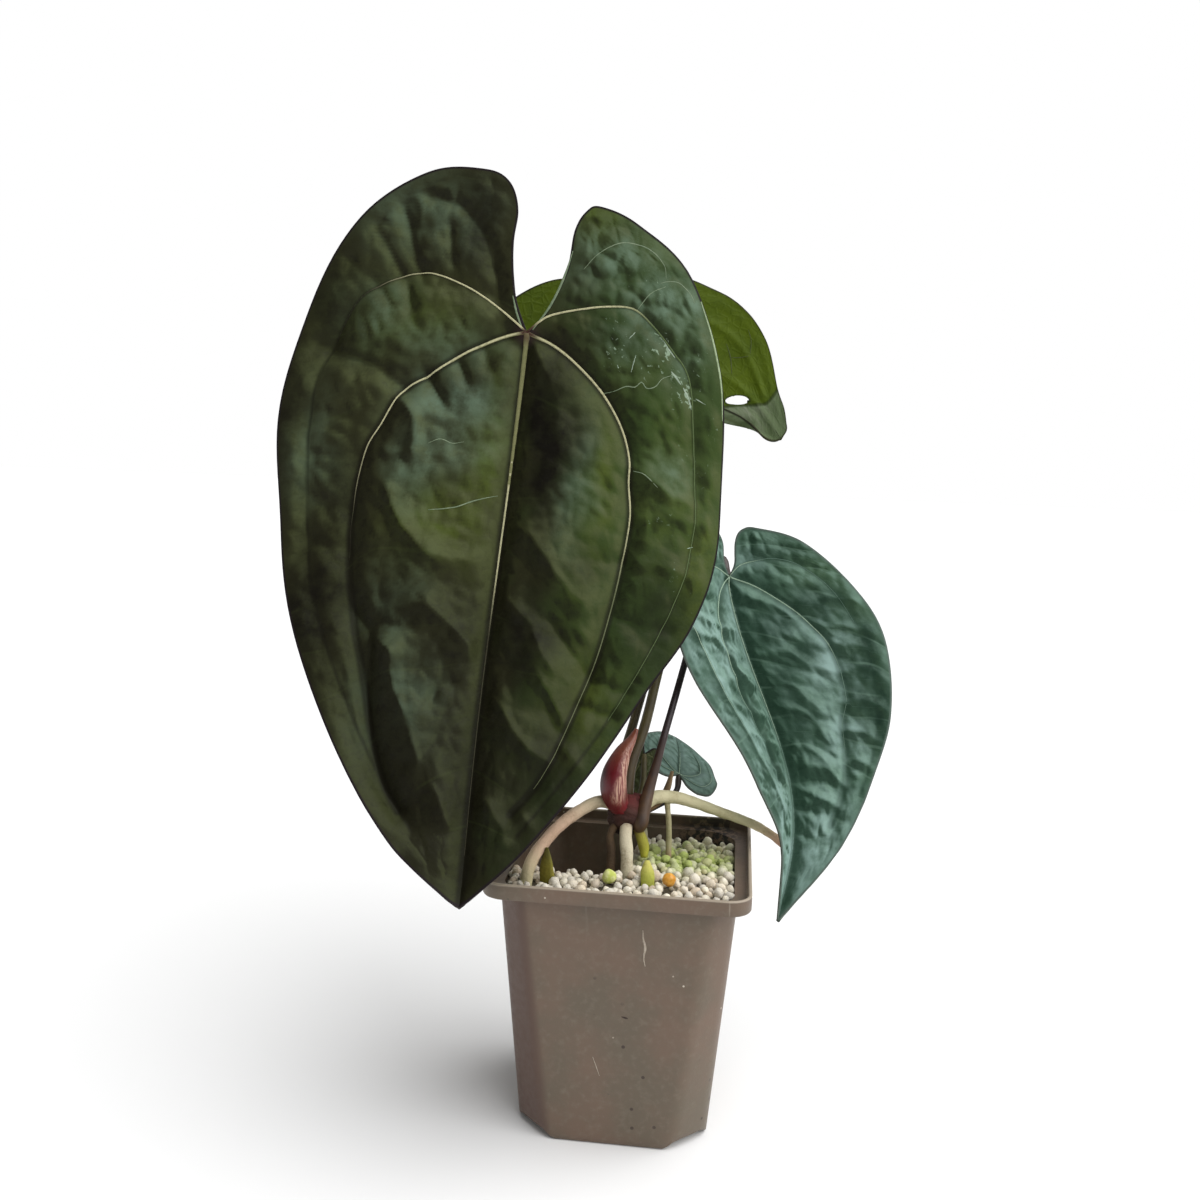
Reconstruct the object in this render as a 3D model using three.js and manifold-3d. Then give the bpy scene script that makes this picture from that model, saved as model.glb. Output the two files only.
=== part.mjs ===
// Potted anthurium with velvety, spade-shaped leaves, in a square nursery pot.
// Millimetres, +Z up. The origin is the middle of the pot's underside, and the front of the pot faces -Y.
import * as THREE from 'three';
import Module from 'manifold-3d';

const wasm = await Module();
wasm.setup();

// Driving dimensions of the pot
const POT_HEIGHT = 95;
const RIM_HALF = 45;
const RIM_ROUND = 8;
const BAND_HEIGHT = 5.5;
const BODY_HALF = { top: 40.5, foot: 33.5 };
const CORNER_CUT = { top: 8.2, foot: 11 };
const CORNER_LIFT = 2.6;
const CORNER_RAMP = 2.4;
const POT_WALL = 1.2;
const FLOOR_WALL = 1.8;
const DRAIN_RADIUS = 3.5;
const DRAIN_RING = 19;

// What touches keeps this gap, and a blade has this thickness
const GAP = 0.3;
const BLADE = 0.8;

// Substrate: nearly level at the front and right, with a deep hollow at the back left. It starts at the first
// x or y of each pair and is full at the second, and the whole surface also falls a little to the back.
const FILL_LEVEL = 91.2;
const HOLLOW = { depth: 25, x: [8, -12], y: [-21, 6] };
const BACK_FALL = { depth: 4.5, y: [-20, 38] };
const BEAD = { count: 92, small: 3.5, large: 4.4, spacing: 7.6, seed: 4 };

// Paths of stalks and roots: points along the middle line, with a radius at each
const PETIOLES = {
  petiole_front: [[-1, 1, 113, 2.6], [0, 2, 125, 2.2], [4, 6, 138, 1.9], [7, 10, 153, 1.8],
    [10, 15, 172, 1.8], [9, 19, 200, 1.8], [3, 21, 228, 1.8], [-9, 19, 252, 1.8], [-24, 14.5, 268, 1.9],
    [-38, 9.6, 274.2, 2.1], [-42, 4, 275.2, 2.1]],
  petiole_back: [[-3, 5, 113, 2.4], [-3, 8, 126, 2], [0, 12, 140, 1.7], [4, 17, 158, 1.6],
    [6, 22, 185, 1.6], [2, 26, 215, 1.6], [-9, 28, 244, 1.7], [-24, 30, 266, 1.8],
    [-33, 33.5, 271.5, 1.9], [-34.7, 36.4, 272.6, 1.9]],
  petiole_right: [[3, 0, 109, 2.6], [7.5, 0.5, 119, 2], [9.5, 2, 127, 1.6], [11.5, 4, 136, 1.4],
    [14.6, 11, 149, 1.3], [17.6, 21.5, 162, 1.3], [20.6, 33, 176, 1.4], [23.4, 43, 189, 1.5],
    [25.6, 48, 196.6, 1.6], [29, 45, 197.4, 1.8], [30.5, 39.5, 193.4, 1.9], [31.1, 36, 192.1, 1.9]],
  petiole_small: [[3, 4, 107, 1.8], [9, 11, 108, 1.3], [14, 17, 109.6, 1.1], [16.4, 21.8, 112, 1.1],
    [16.6, 24.4, 114.8, 1.2]],
  petiole_low: [[2, 4, 109, 1.7], [3.6, 9, 113, 1.2], [4.2, 10.6, 118, 1.1], [4.2, 11.4, 122.6, 1.1],
    [4.1, 13.2, 125.2, 1.1]],
};
const ROOTS = {
  root_left: [[-3, 0, 109, 2.2], [-9, -2, 112.5, 2.2], [-17, -10, 110.5, 2.2], [-25, -21, 105, 2.1],
    [-30.4, -31, 97, 2.1], [-31.4, -33, 84, 1.8]],
  root_right: [[3, 2, 109, 2.4], [9, 5, 113, 2.5], [16, 9, 112.5, 2.3], [24, 13, 109.5, 2.1],
    [31, 16, 106.5, 1.9], [40, 19.5, 102.8, 1.8], [48, 23, 98.8, 1.7], [56, 26, 93, 1.6],
    [63, 28, 86, 1.3]],
  root_front: [[0, -3, 106, 2], [0, -8, 103, 2.2], [1, -12, 98, 2.2], [1.5, -15, 91, 2.1],
    [1.5, -16, 82, 1.8]],
  root_old: [[-3, -3, 106, 1.3], [-5.5, -7, 102, 1.4], [-4.5, -11.5, 97, 1.6], [-4.5, -14, 90, 1.7],
    [-4.5, -14, 82, 1.5]],
  root_rear: [[0, 5, 106, 1.6], [2, 12, 104, 1.6], [4, 17, 98, 1.6], [5, 19, 90, 1.6], [5, 19.5, 80, 1.4]],
  root_tip: [[3, -2.5, 105, 1.6], [5, -5, 102, 1.8], [6.6, -6.5, 98, 1.9], [6.9, -7, 94.5, 1.2]],
};
const ROOTLET = [[13.4, 8.6, 111.6, 1.1], [13.8, 9.8, 107, 1], [14.4, 11, 101, 1], [14.6, 12, 94, 1.1],
  [14.6, 12.4, 84, 1]];
const STEM = [[-1.6, -0.8, 100.6, 3.4], [-1.2, -0.4, 103.4, 5.8], [-0.5, 0, 107, 7], [0.5, 0.8, 111, 6.8],
  [1, 1.4, 115, 4.4]];
const SHEATH = [[-2.5, -3, 110, 3], [-6, -4.5, 117, 5], [-6.6, -4.6, 124, 5.2], [-4, -2.2, 131, 3.8],
  [0.4, 1.5, 138.6, 0.9]];
const OLD_SHEATH = [[5.5, 3.5, 108, 1.6], [11, 8.6, 110.8, 2], [13.2, 12, 115, 1.8],
  [14.6, 15, 120.5, 0.9]];
const OLD_BRACT = [[-24, -27, 82, 2.2], [-24.5, -28, 90, 3.2], [-25, -28, 97, 2.6],
  [-25.2, -27.4, 102.6, 0.6]];
const PALE_STUB = [[9.6, -24, 84, 1.8], [9.6, -24, 91, 2.4], [9.2, -23.4, 95.6, 2.2], [9, -23, 99, 0.8]];
const GRANULES = {
  granule_orange: { at: [17, -28, 94.6], radius: 2.4 },
  granule_green: { at: [-3.4, -27.5, 94], radius: 2.6 },
};

// Leaves. Each half's edge runs from the stalk up the sinus, round the lobe and down to the tip: how far it
// stands from the midrib, and how far along it, in millimetres. The lobe's top is the point number `apex`.
// One half may roll over near its edge, and a torn place is a few faces left out of the grid.
const LEAVES = {
  leaf_front: {
    base: [-42, 1, 278], tip: [-48, -60, 92], across: [1, 0.1, -0.06], bend: 20, sway: -2,
    fold: [12, 14], curl: [-38, -52], wave: 1.6, pucker: 1.5, groove: 1.5, rows: 32, columns: 9,
    left: { apex: 5, edge: [[0, 0], [5, -12], [7.5, -29], [7, -42], [11, -51], [20, -54], [39, -51],
      [62, -34], [79, -4], [85, 38], [79, 76], [66, 113], [47, 149], [25, 179], [6, 194], [0, 197]] },
    right: { apex: 5, edge: [[0, 0], [6, -7], [12, -22], [13.5, -36], [17, -43], [22, -45], [36, -40],
      [57, -24], [72, 13], [78, 60], [71, 95], [56, 122], [38, 153], [19, 179], [5, 193], [0, 197]] },
  },
  leaf_right: {
    base: [32.3, 33.5, 192.3], tip: [55.7, -2.7, 73], across: [0.88, 0.47, 0.03], bend: 22, sway: 17,
    fold: [33, 32], curl: [-40, -25], wave: 1.2, pucker: 1.3, groove: 1.1, rows: 28, columns: 7,
    left: { apex: 4, edge: [[0, 0], [3, -6], [3.5, -13], [8, -18], [14, -19], [27, -10], [37, 8], [39, 28],
      [33, 51], [23, 80], [10, 100], [4, 118], [0, 127.7]] },
    right: { apex: 4, edge: [[0, 0], [2, -5], [2.5, -13], [5, -17.5], [11, -18], [28, -12], [45, 6],
      [52, 28], [43, 58], [30, 82], [17, 107], [5, 122], [0, 127.7]] },
  },
  leaf_back: {
    base: [-36, 39, 274], tip: [49.4, 59, 244], across: [-0.31, -0.22, -0.92], bend: -25, sway: -16.5,
    fold: [0, 0], curl: [-20, -30], wave: 0.8, pucker: 0.8, groove: 0.8, rows: 24, columns: 8,
    left: { apex: 4, edge: [[0, 0], [0.6, -8], [1.6, -18], [6, -25], [13, -23], [25, -11], [34, 10],
      [36, 30], [32, 47], [28, 62], [22, 76], [12.5, 86], [10, 91], [5, 94.5], [0, 93.5]] },
    right: { apex: 4, edge: [[0, 0], [0.6, -8], [1.6, -16], [6, -21], [12, -21], [25, -10], [34, 10],
      [37, 30], [35, 46], [30, 62], [23, 74], [12, 84], [4, 91], [0, 93.5]] },
    roll: { half: 1, from: 0.6, radius: 0.1, turn: 150 },
    tear: { half: 1, rows: [19, 21], column: 1 },
  },
  leaf_small: {
    base: [17.1, 25.1, 117.3], tip: [14, 59, 123], across: [-0.87, -0.04, 0.49], bend: -24, sway: 0,
    fold: [4, 6], curl: [-60, -60], wave: 0.4, pucker: 0.4, groove: 0.4, rows: 12, columns: 4,
    left: { apex: 3, edge: [[0, 0], [2, -3], [4, -5], [9, -6], [15, -1], [16.5, 11], [11, 24], [0, 35]] },
    right: { apex: 3, edge: [[0, 0], [2, -3], [4, -5], [9, -6], [16, -1], [17, 11], [11, 24], [0, 35]] },
  },
  leaf_low: {
    base: [4, 15.6, 126.5], tip: [-4.5, 18.8, 106.5], across: [-0.87, 0.05, 0.45], bend: 20, sway: 0,
    fold: [8, 8], curl: [-60, -60], wave: 0.4, pucker: 0.4, groove: 0.4, rows: 12, columns: 4,
    left: { apex: 3, edge: [[0, 0], [1, -2], [2.4, -3.6], [5, -3.6], [7, 0], [7.4, 6], [5.4, 15],
      [0, 22]] },
    right: { apex: 3, edge: [[0, 0], [1, -2], [2.4, -4], [5, -4], [8, 0], [8.6, 6], [6, 15], [0, 22]] },
  },
};
// Rows up to this share run from the sinus edge, the others from the midrib, near which the blade is level
const SHOULDER = 0.25;
const MIDRIB_EASE = 6;
const GROOVE_SPREAD = 0.045;
const EDGE_FADE = 0.12;
const WAVES = 5;
const SIDE_VEINS = { count: 10.5, innerSlope: 0.3, outerSlope: 0.75 };

// Main veins of one half, as shares of its width and of the midrib's length
const VEINS = {
  lateral: [[0, 0], [0.12, 0.02], [0.37, 0.1], [0.52, 0.2], [0.57, 0.32], [0.5, 0.57], [0.34, 0.75],
    [0.12, 0.88]],
  collective: [[0, 0], [0.18, -0.05], [0.42, -0.07], [0.62, -0.03], [0.77, 0.07], [0.84, 0.25], [0.81, 0.45],
    [0.66, 0.66], [0.42, 0.82]],
  lobe: [[0, 0], [0.1, -0.1], [0.22, -0.18], [0.42, -0.19], [0.62, -0.13], [0.76, -0.02]],
};

const PLASTIC = { color: 0x6f6458, roughness: 0.55 };
const PERLITE = { color: 0xd9d8cb, roughness: 0.95 };
const LEAF_DARK = { color: 0x27331f, roughness: 0.6 };
const LEAF_BLUE = { color: 0x3f6258, roughness: 0.6 };
const LEAF_LIT = { color: 0x48601c, roughness: 0.55 };
const STALK = { color: 0x4c4a26, roughness: 0.5 };
const STALK_DARK = { color: 0x2a1a20, roughness: 0.45 };
const STEM_BROWN = { color: 0x3c2724, roughness: 0.7 };
const SHEATH_RED = { color: 0x7c2430, roughness: 0.4 };
const ROOT_CREAM = { color: 0xc9b79c, roughness: 0.8 };
const ROOT_DARK = { color: 0x4a3a2a, roughness: 0.85 };
const GREEN_TIP = { color: 0xa4a63c, roughness: 0.6 };
const DRY_BROWN = { color: 0x6b5844, roughness: 0.85 };
const ORANGE = { color: 0xd9821e, roughness: 0.35 };

const plant = new THREE.Group();

// From 0 at `from` to 1 at `to`, with soft ends, whichever of the two is larger
function ease([from, to], value) {
  return THREE.MathUtils.smoothstep((value - from) / (to - from), 0, 1);
}

// A closed body from points and faces: merges equal points, drops flat faces and turns it outside out
function body(points, faces) {
  const index = new Map();
  const kept = [];
  const ids = points.map((p) => {
    const key = [p.x, p.y, p.z].map((v) => Math.round(v * 1e4)).join();
    if (!index.has(key)) {
      index.set(key, kept.length);
      kept.push(p);
    }
    return index.get(key);
  });
  let tris = faces.map((f) => f.map((i) => ids[i]));
  tris = tris.filter(([a, b, c]) => a !== b && b !== c && c !== a);
  const volume = tris.reduce((sum, [a, b, c]) => sum + kept[a].dot(kept[b].clone().cross(kept[c])), 0);
  if (volume < 0) tris = tris.map(([a, b, c]) => [a, c, b]);
  return new wasm.Manifold(new wasm.Mesh({
    numProp: 3,
    vertProperties: new Float32Array(kept.flatMap((p) => [p.x, p.y, p.z])),
    triVerts: new Uint32Array(tris.flat()),
  }));
}

// Keeps the largest piece of a solid, so a cut leaves no scraps
function largest(solid) {
  const pieces = solid.decompose();
  return pieces.reduce((best, piece) => (piece.volume() > best.volume() ? piece : best));
}

function addMesh(name, solid, finish) {
  const { vertProperties, triVerts } = solid.getMesh();
  const geometry = new THREE.BufferGeometry();
  geometry.setAttribute('position', new THREE.BufferAttribute(vertProperties, 3));
  geometry.setIndex(new THREE.BufferAttribute(triVerts, 1));
  geometry.computeVertexNormals();
  const mesh = new THREE.Mesh(geometry, new THREE.MeshStandardMaterial({ ...finish, metalness: 0 }));
  mesh.name = name;
  plant.add(mesh);
}

// A closed body from rings of equally many points, with a flat fan over each end
function loft(rings) {
  const sides = rings[0].length;
  const points = rings.flat();
  const faces = [];
  for (let r = 0; r < rings.length - 1; r += 1) {
    for (let i = 0; i < sides; i += 1) {
      const a = r * sides + i;
      const b = r * sides + ((i + 1) % sides);
      faces.push([a, b, b + sides], [a, b + sides, a + sides]);
    }
  }
  const middle = (ring) => ring.reduce((sum, p) => sum.add(p), new THREE.Vector3()).divideScalar(sides);
  const last = (rings.length - 1) * sides;
  points.push(middle(rings[0]), middle(rings.at(-1)));
  for (let i = 0; i < sides; i += 1) {
    const next = (i + 1) % sides;
    faces.push([points.length - 2, next, i], [points.length - 1, last + i, last + next]);
  }
  return body(points, faces);
}

// A round stalk along a path of [x, y, z, radius], made larger all over by `extra` for a cut with a gap
function stalk(path, { sides = 8, steps = 14, extra = 0, flat = 1 } = {}) {
  const curve = new THREE.CatmullRomCurve3(path.map(([x, y, z]) => new THREE.Vector3(x, y, z)));
  const radii = new THREE.CatmullRomCurve3(path.map(([, , , r], i) => new THREE.Vector3(r, i, 0)));
  const { normals, binormals, tangents } = curve.computeFrenetFrames(steps);
  const rings = [];
  for (let i = 0; i <= steps; i += 1) {
    const t = curve.getUtoTmapping(i / steps);
    const radius = radii.getPoint(t).x + extra;
    const overshoot = i === 0 ? -extra : i === steps ? extra : 0;
    const centre = curve.getPoint(t).addScaledVector(tangents[i], overshoot);
    const ring = [];
    for (let j = 0; j < sides; j += 1) {
      const angle = (2 * Math.PI * j) / sides;
      ring.push(centre.clone()
        .addScaledVector(normals[i], radius * Math.cos(angle))
        .addScaledVector(binormals[i], (radius - extra) * flat * Math.sin(angle) + extra * Math.sin(angle)));
    }
    rings.push(ring);
  }
  return loft(rings);
}

// Pot
// A square outline with five points at each corner: cut straight, or rounded where `round` is given
function square(half, z, { cut = 0, round = 0, ramp = CORNER_RAMP, lift = 0 }) {
  const corner = [];
  if (round) {
    for (let j = 0; j <= 4; j += 1) {
      const angle = (Math.PI / 8) * j;
      const inner = half - round;
      corner.push([inner + round * Math.cos(angle), inner + round * Math.sin(angle), z]);
    }
  } else {
    const near = half - cut;
    corner.push([half, near - ramp, z], [half, near, z + lift],
      [(half + near) / 2, (half + near) / 2, z + lift],
      [near, half, z + lift], [near - ramp, half, z]);
  }
  const ring = [];
  for (let turn = 0; turn < 4; turn += 1) {
    for (const [x, y, height] of corner) {
      const point = new THREE.Vector3(x, y, height);
      ring.push(point.applyAxisAngle(new THREE.Vector3(0, 0, 1), (Math.PI / 2) * turn));
    }
  }
  return ring;
}

function wideCut(half, z, cut) {
  const near = half - cut - CORNER_RAMP;
  return square(half, z, { cut: half - near, ramp: 0 });
}

const shelf = POT_HEIGHT - BAND_HEIGHT;

function potShell() {
  const rimInner = RIM_HALF - POT_WALL;
  const rimInnerRound = RIM_ROUND - POT_WALL;
  const shell = loft([
    wideCut(BODY_HALF.foot, 0, CORNER_CUT.foot),
    square(BODY_HALF.foot, 0, { cut: CORNER_CUT.foot, lift: CORNER_LIFT }),
    square(BODY_HALF.top, shelf, { cut: CORNER_CUT.top }),
    square(RIM_HALF, shelf, { round: RIM_ROUND }),
    square(RIM_HALF, POT_HEIGHT, { round: RIM_ROUND }),
    square(rimInner, POT_HEIGHT, { round: rimInnerRound }),
    square(rimInner, shelf + POT_WALL, { round: rimInnerRound }),
    square(BODY_HALF.top - POT_WALL, shelf + POT_WALL, { cut: CORNER_CUT.top }),
    square(BODY_HALF.foot - POT_WALL, FLOOR_WALL + CORNER_LIFT, { cut: CORNER_CUT.foot }),
    wideCut(BODY_HALF.foot - 2 * POT_WALL, FLOOR_WALL, CORNER_CUT.foot),
  ]);
  let pot = shell;
  for (let i = 0; i < 4; i += 1) {
    const angle = (Math.PI / 2) * i;
    const [x, y] = [DRAIN_RING * Math.cos(angle), DRAIN_RING * Math.sin(angle)];
    const levels = [-1, 1, FLOOR_WALL + 1];
    pot = pot.subtract(stalk(levels.map((z) => [x, y, z, DRAIN_RADIUS]), { sides: 12, steps: 2 }));
  }
  return pot;
}

// Leaves
const radians = THREE.MathUtils.degToRad;

function leafFrame(leaf) {
  const base = new THREE.Vector3(...leaf.base);
  const chord = new THREE.Vector3(...leaf.tip).sub(base);
  const half = radians(leaf.bend) / 2;
  const length = (chord.length() * half) / Math.sin(half);
  const down = chord.normalize();
  const across = new THREE.Vector3(...leaf.across);
  across.addScaledVector(down, -across.dot(down)).normalize();
  const face = down.clone().cross(across);
  return {
    base, across, length,
    down: down.clone().multiplyScalar(Math.cos(half)).addScaledVector(face, -Math.sin(half)),
    face: face.multiplyScalar(Math.cos(half)).addScaledVector(down, Math.sin(half)),
  };
}

// Distance from a point to a path, and the path's own points spread evenly
function pathDistance(path, u, w) {
  let best = Infinity;
  for (let i = 0; i < path.length - 1; i += 1) {
    const [x0, y0] = path[i];
    const dx = path[i + 1][0] - x0;
    const dy = path[i + 1][1] - y0;
    const share = Math.min(1, Math.max(0, ((u - x0) * dx + (w - y0) * dy) / (dx * dx + dy * dy)));
    best = Math.min(best, Math.hypot(u - x0 - share * dx, w - y0 - share * dy));
  }
  return best;
}

function smooth(points, perStep = 8) {
  const corners = points.map(([u, w]) => new THREE.Vector3(u, w, 0));
  const curve = new THREE.CatmullRomCurve3(corners, false, 'catmullrom', 0.5);
  const count = (points.length - 1) * perStep;
  return Array.from({ length: count + 1 }, (_, i) => {
    const { x, y } = curve.getPoint(i / count);
    return [x, y];
  });
}

function along(path, share) {
  const lengths = [0];
  for (let i = 1; i < path.length; i += 1) {
    lengths.push(lengths[i - 1] + Math.hypot(path[i][0] - path[i - 1][0], path[i][1] - path[i - 1][1]));
  }
  const target = share * lengths.at(-1);
  let i = 1;
  while (i < path.length - 1 && lengths[i] < target) i += 1;
  const part = (target - lengths[i - 1]) / (lengths[i] - lengths[i - 1]);
  return [0, 1].map((k) => path[i - 1][k] + part * (path[i][k] - path[i - 1][k]));
}

// One half of a leaf: its edge, its widest place and its veins in millimetres
function halfLeaf(leaf, side) {
  const { edge, apex } = side === 1 ? leaf.right : leaf.left;
  const perStep = 8;
  const fine = smooth(edge, perStep);
  const width = Math.max(...edge.map(([u]) => u));
  const length = edge.at(-1)[1];
  const scale = ([u, w]) => [u * width, w * length];
  return {
    width, length,
    sinus: fine.slice(0, apex * perStep + 1).reverse(),
    margin: fine.slice(apex * perStep),
    veins: Object.values(VEINS).map((vein) => smooth(vein.map(scale), 4)),
  };
}

// Height of the upper face over the bare curved blade: sunk veins, and swellings between the side veins,
// which leave the midrib nearly square and slant more towards the edge
function relief(leaf, { half, u, w, rolled }) {
  const veinDistance = Math.min(u, ...half.veins.map((vein) => pathDistance(vein, u, w)));
  const groove = Math.exp(-((veinDistance / (half.width * GROOVE_SPREAD)) ** 2));
  const edgeFade = Math.min(1, pathDistance(half.margin, u, w) / (half.width * EDGE_FADE));
  const outward = u - half.width / 2;
  const slope = outward < 0 ? SIDE_VEINS.innerSlope : SIDE_VEINS.outerSlope;
  const phase = ((w - outward * slope) * SIDE_VEINS.count) / half.length;
  const swelling = Math.abs(Math.sin(Math.PI * phase)) - 0.45;
  const free = rolled ? 0 : 1 - groove;
  return edgeFade * (leaf.pucker * swelling * free - leaf.groove * groove);
}

// Where a strip of one length ends, how high it rises and how it is turned, for a steady curl
function arc(from, curl, length) {
  const to = from + curl * length;
  if (Math.abs(curl) < 1e-6) return { reach: length * Math.cos(from), rise: length * Math.sin(from), to };
  return { reach: (Math.sin(to) - Math.sin(from)) / curl, rise: (Math.cos(from) - Math.cos(to)) / curl, to };
}

// Cross-section of one half: a steady curl, and on a rolled half a tight turn near the edge
function section(leaf, side, u, rolled) {
  const k = side === 1 ? 1 : 0;
  const curl = radians(leaf.curl[k]) / 100;
  if (!rolled || u <= rolled.start) return arc(radians(leaf.fold[k]), curl, u);
  const open = arc(radians(leaf.fold[k]), curl, rolled.start);
  const bent = Math.min(u - rolled.start, rolled.length);
  const turn = arc(open.to, -rolled.turn / rolled.length, bent);
  const rest = arc(turn.to, 0, u - rolled.start - bent);
  const sum = (key) => open[key] + turn[key] + rest[key];
  return { reach: sum('reach'), rise: sum('rise'), to: rest.to };
}

// The roll sets in past the middle of the blade and lets go before the tip
function rollOf(leaf, side, share, edge) {
  if (!leaf.roll || leaf.roll.half !== side) return null;
  const turn = radians(leaf.roll.turn) * ease([0.42, 0.68], share) * ease([1, 0.8], share);
  const radius = Math.max(leaf.roll.radius * edge, 1.2);
  return turn < 0.02 ? null : { start: leaf.roll.from * edge, turn, length: turn * radius };
}

// The blade is arched along the midrib, folded and curled across it, and its edge waves
function bladePoint(leaf, frame, { half, side, u, w, rolled }, drop) {
  const turn = radians(leaf.bend) / frame.length;
  const bent = turn * w;
  const spine = frame.base.clone()
    .addScaledVector(frame.down, Math.sin(bent) / turn)
    .addScaledVector(frame.face, (1 - Math.cos(bent)) / turn);
  const face = frame.face.clone().multiplyScalar(Math.cos(bent)).addScaledVector(frame.down, -Math.sin(bent));
  const share = Math.min(1, Math.max(0, w / frame.length));
  const shift = leaf.sway * Math.sin(Math.PI * share ** 1.5);
  const { reach, rise, to } = section(leaf, side, u, rolled);
  const swing = Math.sin((WAVES * Math.PI * w) / half.length + side);
  const wave = rolled ? 0 : leaf.wave * (u / half.width) ** 2 * swing;
  const tilt = to * Math.min(1, u / MIDRIB_EASE);
  return spine
    .addScaledVector(frame.across, shift + side * (reach - Math.sin(tilt) * (wave + drop)))
    .addScaledVector(face, rise + Math.cos(tilt) * (wave + drop));
}

function inTear({ tear }, side, row, column) {
  return tear?.half === side && tear.column === column && row >= tear.rows[0] && row < tear.rows[1];
}

// The upper face of both halves as a list of points and faces, with equal points joined
function bladeSheet(leaf) {
  const index = new Map();
  const sheet = { places: [], faces: [] };
  const place = (spot) => {
    const key = [spot.side * spot.u, spot.w].map((v) => Math.round(v * 1e3)).join();
    if (!index.has(key)) {
      index.set(key, sheet.places.length);
      sheet.places.push(spot);
    }
    return index.get(key);
  };
  for (const side of [-1, 1]) {
    const half = halfLeaf(leaf, side);
    const grid = [];
    for (let r = 0; r <= leaf.rows; r += 1) {
      const share = r / leaf.rows;
      const [u0, w0] = share < SHOULDER
        ? along(half.sinus, share / SHOULDER)
        : [0, (half.length * (share - SHOULDER)) / (1 - SHOULDER)];
      const [u1, w1] = along(half.margin, share);
      const row = [];
      for (let c = 0; c <= leaf.columns; c += 1) {
        const part = c / leaf.columns;
        const [u, w] = [u0 + (u1 - u0) * part, w0 + (w1 - w0) * part];
        row.push(place({ side, half, u, w, rolled: rollOf(leaf, side, share, u1) }));
      }
      grid.push(row);
    }
    for (let r = 0; r < leaf.rows; r += 1) {
      for (let c = 0; c < leaf.columns; c += 1) {
        const [a, b, d, e] = [grid[r][c], grid[r][c + 1], grid[r + 1][c], grid[r + 1][c + 1]];
        if (inTear(leaf, side, r, c)) continue;
        sheet.faces.push(...(side === 1 ? [[a, d, e], [a, e, b]] : [[a, e, d], [a, b, e]]));
      }
    }
  }
  sheet.faces = sheet.faces.filter(([a, b, c]) => a !== b && b !== c && c !== a);
  return sheet;
}

// A blade is its upper face, the same face a blade's thickness below, and a wall along every open edge
function blade(leaf) {
  const frame = leafFrame(leaf);
  const { places, faces } = bladeSheet(leaf);
  const face = (depth) => places.map((spot) => bladePoint(leaf, frame, spot, relief(leaf, spot) - depth));
  const count = places.length;
  const directed = new Set(faces.flatMap(([a, b, c]) => [[a, b], [b, c], [c, a]].map((edge) => edge.join())));
  const walls = [];
  for (const edge of directed) {
    const [a, b] = edge.split(',').map(Number);
    if (!directed.has([b, a].join())) walls.push([b, a, a + count], [b, a + count, b + count]);
  }
  const under = faces.map(([a, b, c]) => [a + count, c + count, b + count]);
  return body([...face(0), ...face(BLADE)], [...faces, ...under, ...walls]);
}

// Substrate
function random(seed) {
  let state = seed;
  return () => {
    state = (state + 0x6d2b79f5) | 0;
    let t = Math.imul(state ^ (state >>> 15), 1 | state);
    t = (t + Math.imul(t ^ (t >>> 7), 61 | t)) ^ t;
    return ((t ^ (t >>> 14)) >>> 0) / 4294967296;
  };
}

function fillLevel(x, y) {
  const hollow = HOLLOW.depth * ease(HOLLOW.x, x) * ease(HOLLOW.y, y);
  return FILL_LEVEL - hollow - BACK_FALL.depth * ease(BACK_FALL.y, y) * (1 - ease(HOLLOW.x, x));
}

function fillBlock() {
  const cells = 10;
  const reach = RIM_HALF;
  const points = [];
  const faces = [];
  const id = (i, j, layer) => (layer * (cells + 1) + i) * (cells + 1) + j;
  for (const layer of [0, 1]) {
    for (let i = 0; i <= cells; i += 1) {
      for (let j = 0; j <= cells; j += 1) {
        const x = reach * (2 * (i / cells) - 1);
        const y = reach * (2 * (j / cells) - 1);
        points.push(new THREE.Vector3(x, y, layer ? fillLevel(x, y) : 0));
      }
    }
  }
  for (let i = 0; i < cells; i += 1) {
    for (let j = 0; j < cells; j += 1) {
      const corners = [[i, j], [i + 1, j], [i + 1, j + 1], [i, j + 1]];
      const [a, b, c, d] = corners.map(([p, q]) => id(p, q, 1));
      const [e, f, g, h] = corners.map(([p, q]) => id(p, q, 0));
      faces.push([a, b, c], [a, c, d], [e, g, f], [e, h, g]);
    }
    const walls = [
      [[i, 0], [i + 1, 0]], [[i + 1, cells], [i, cells]], [[cells, i], [cells, i + 1]], [[0, i + 1], [0, i]],
    ];
    for (const [p, q] of walls) {
      const [a, b, c, d] = [id(...p, 0), id(...q, 0), id(...q, 1), id(...p, 1)];
      faces.push([a, b, c], [a, c, d]);
    }
  }
  return body(points, faces);
}

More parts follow.
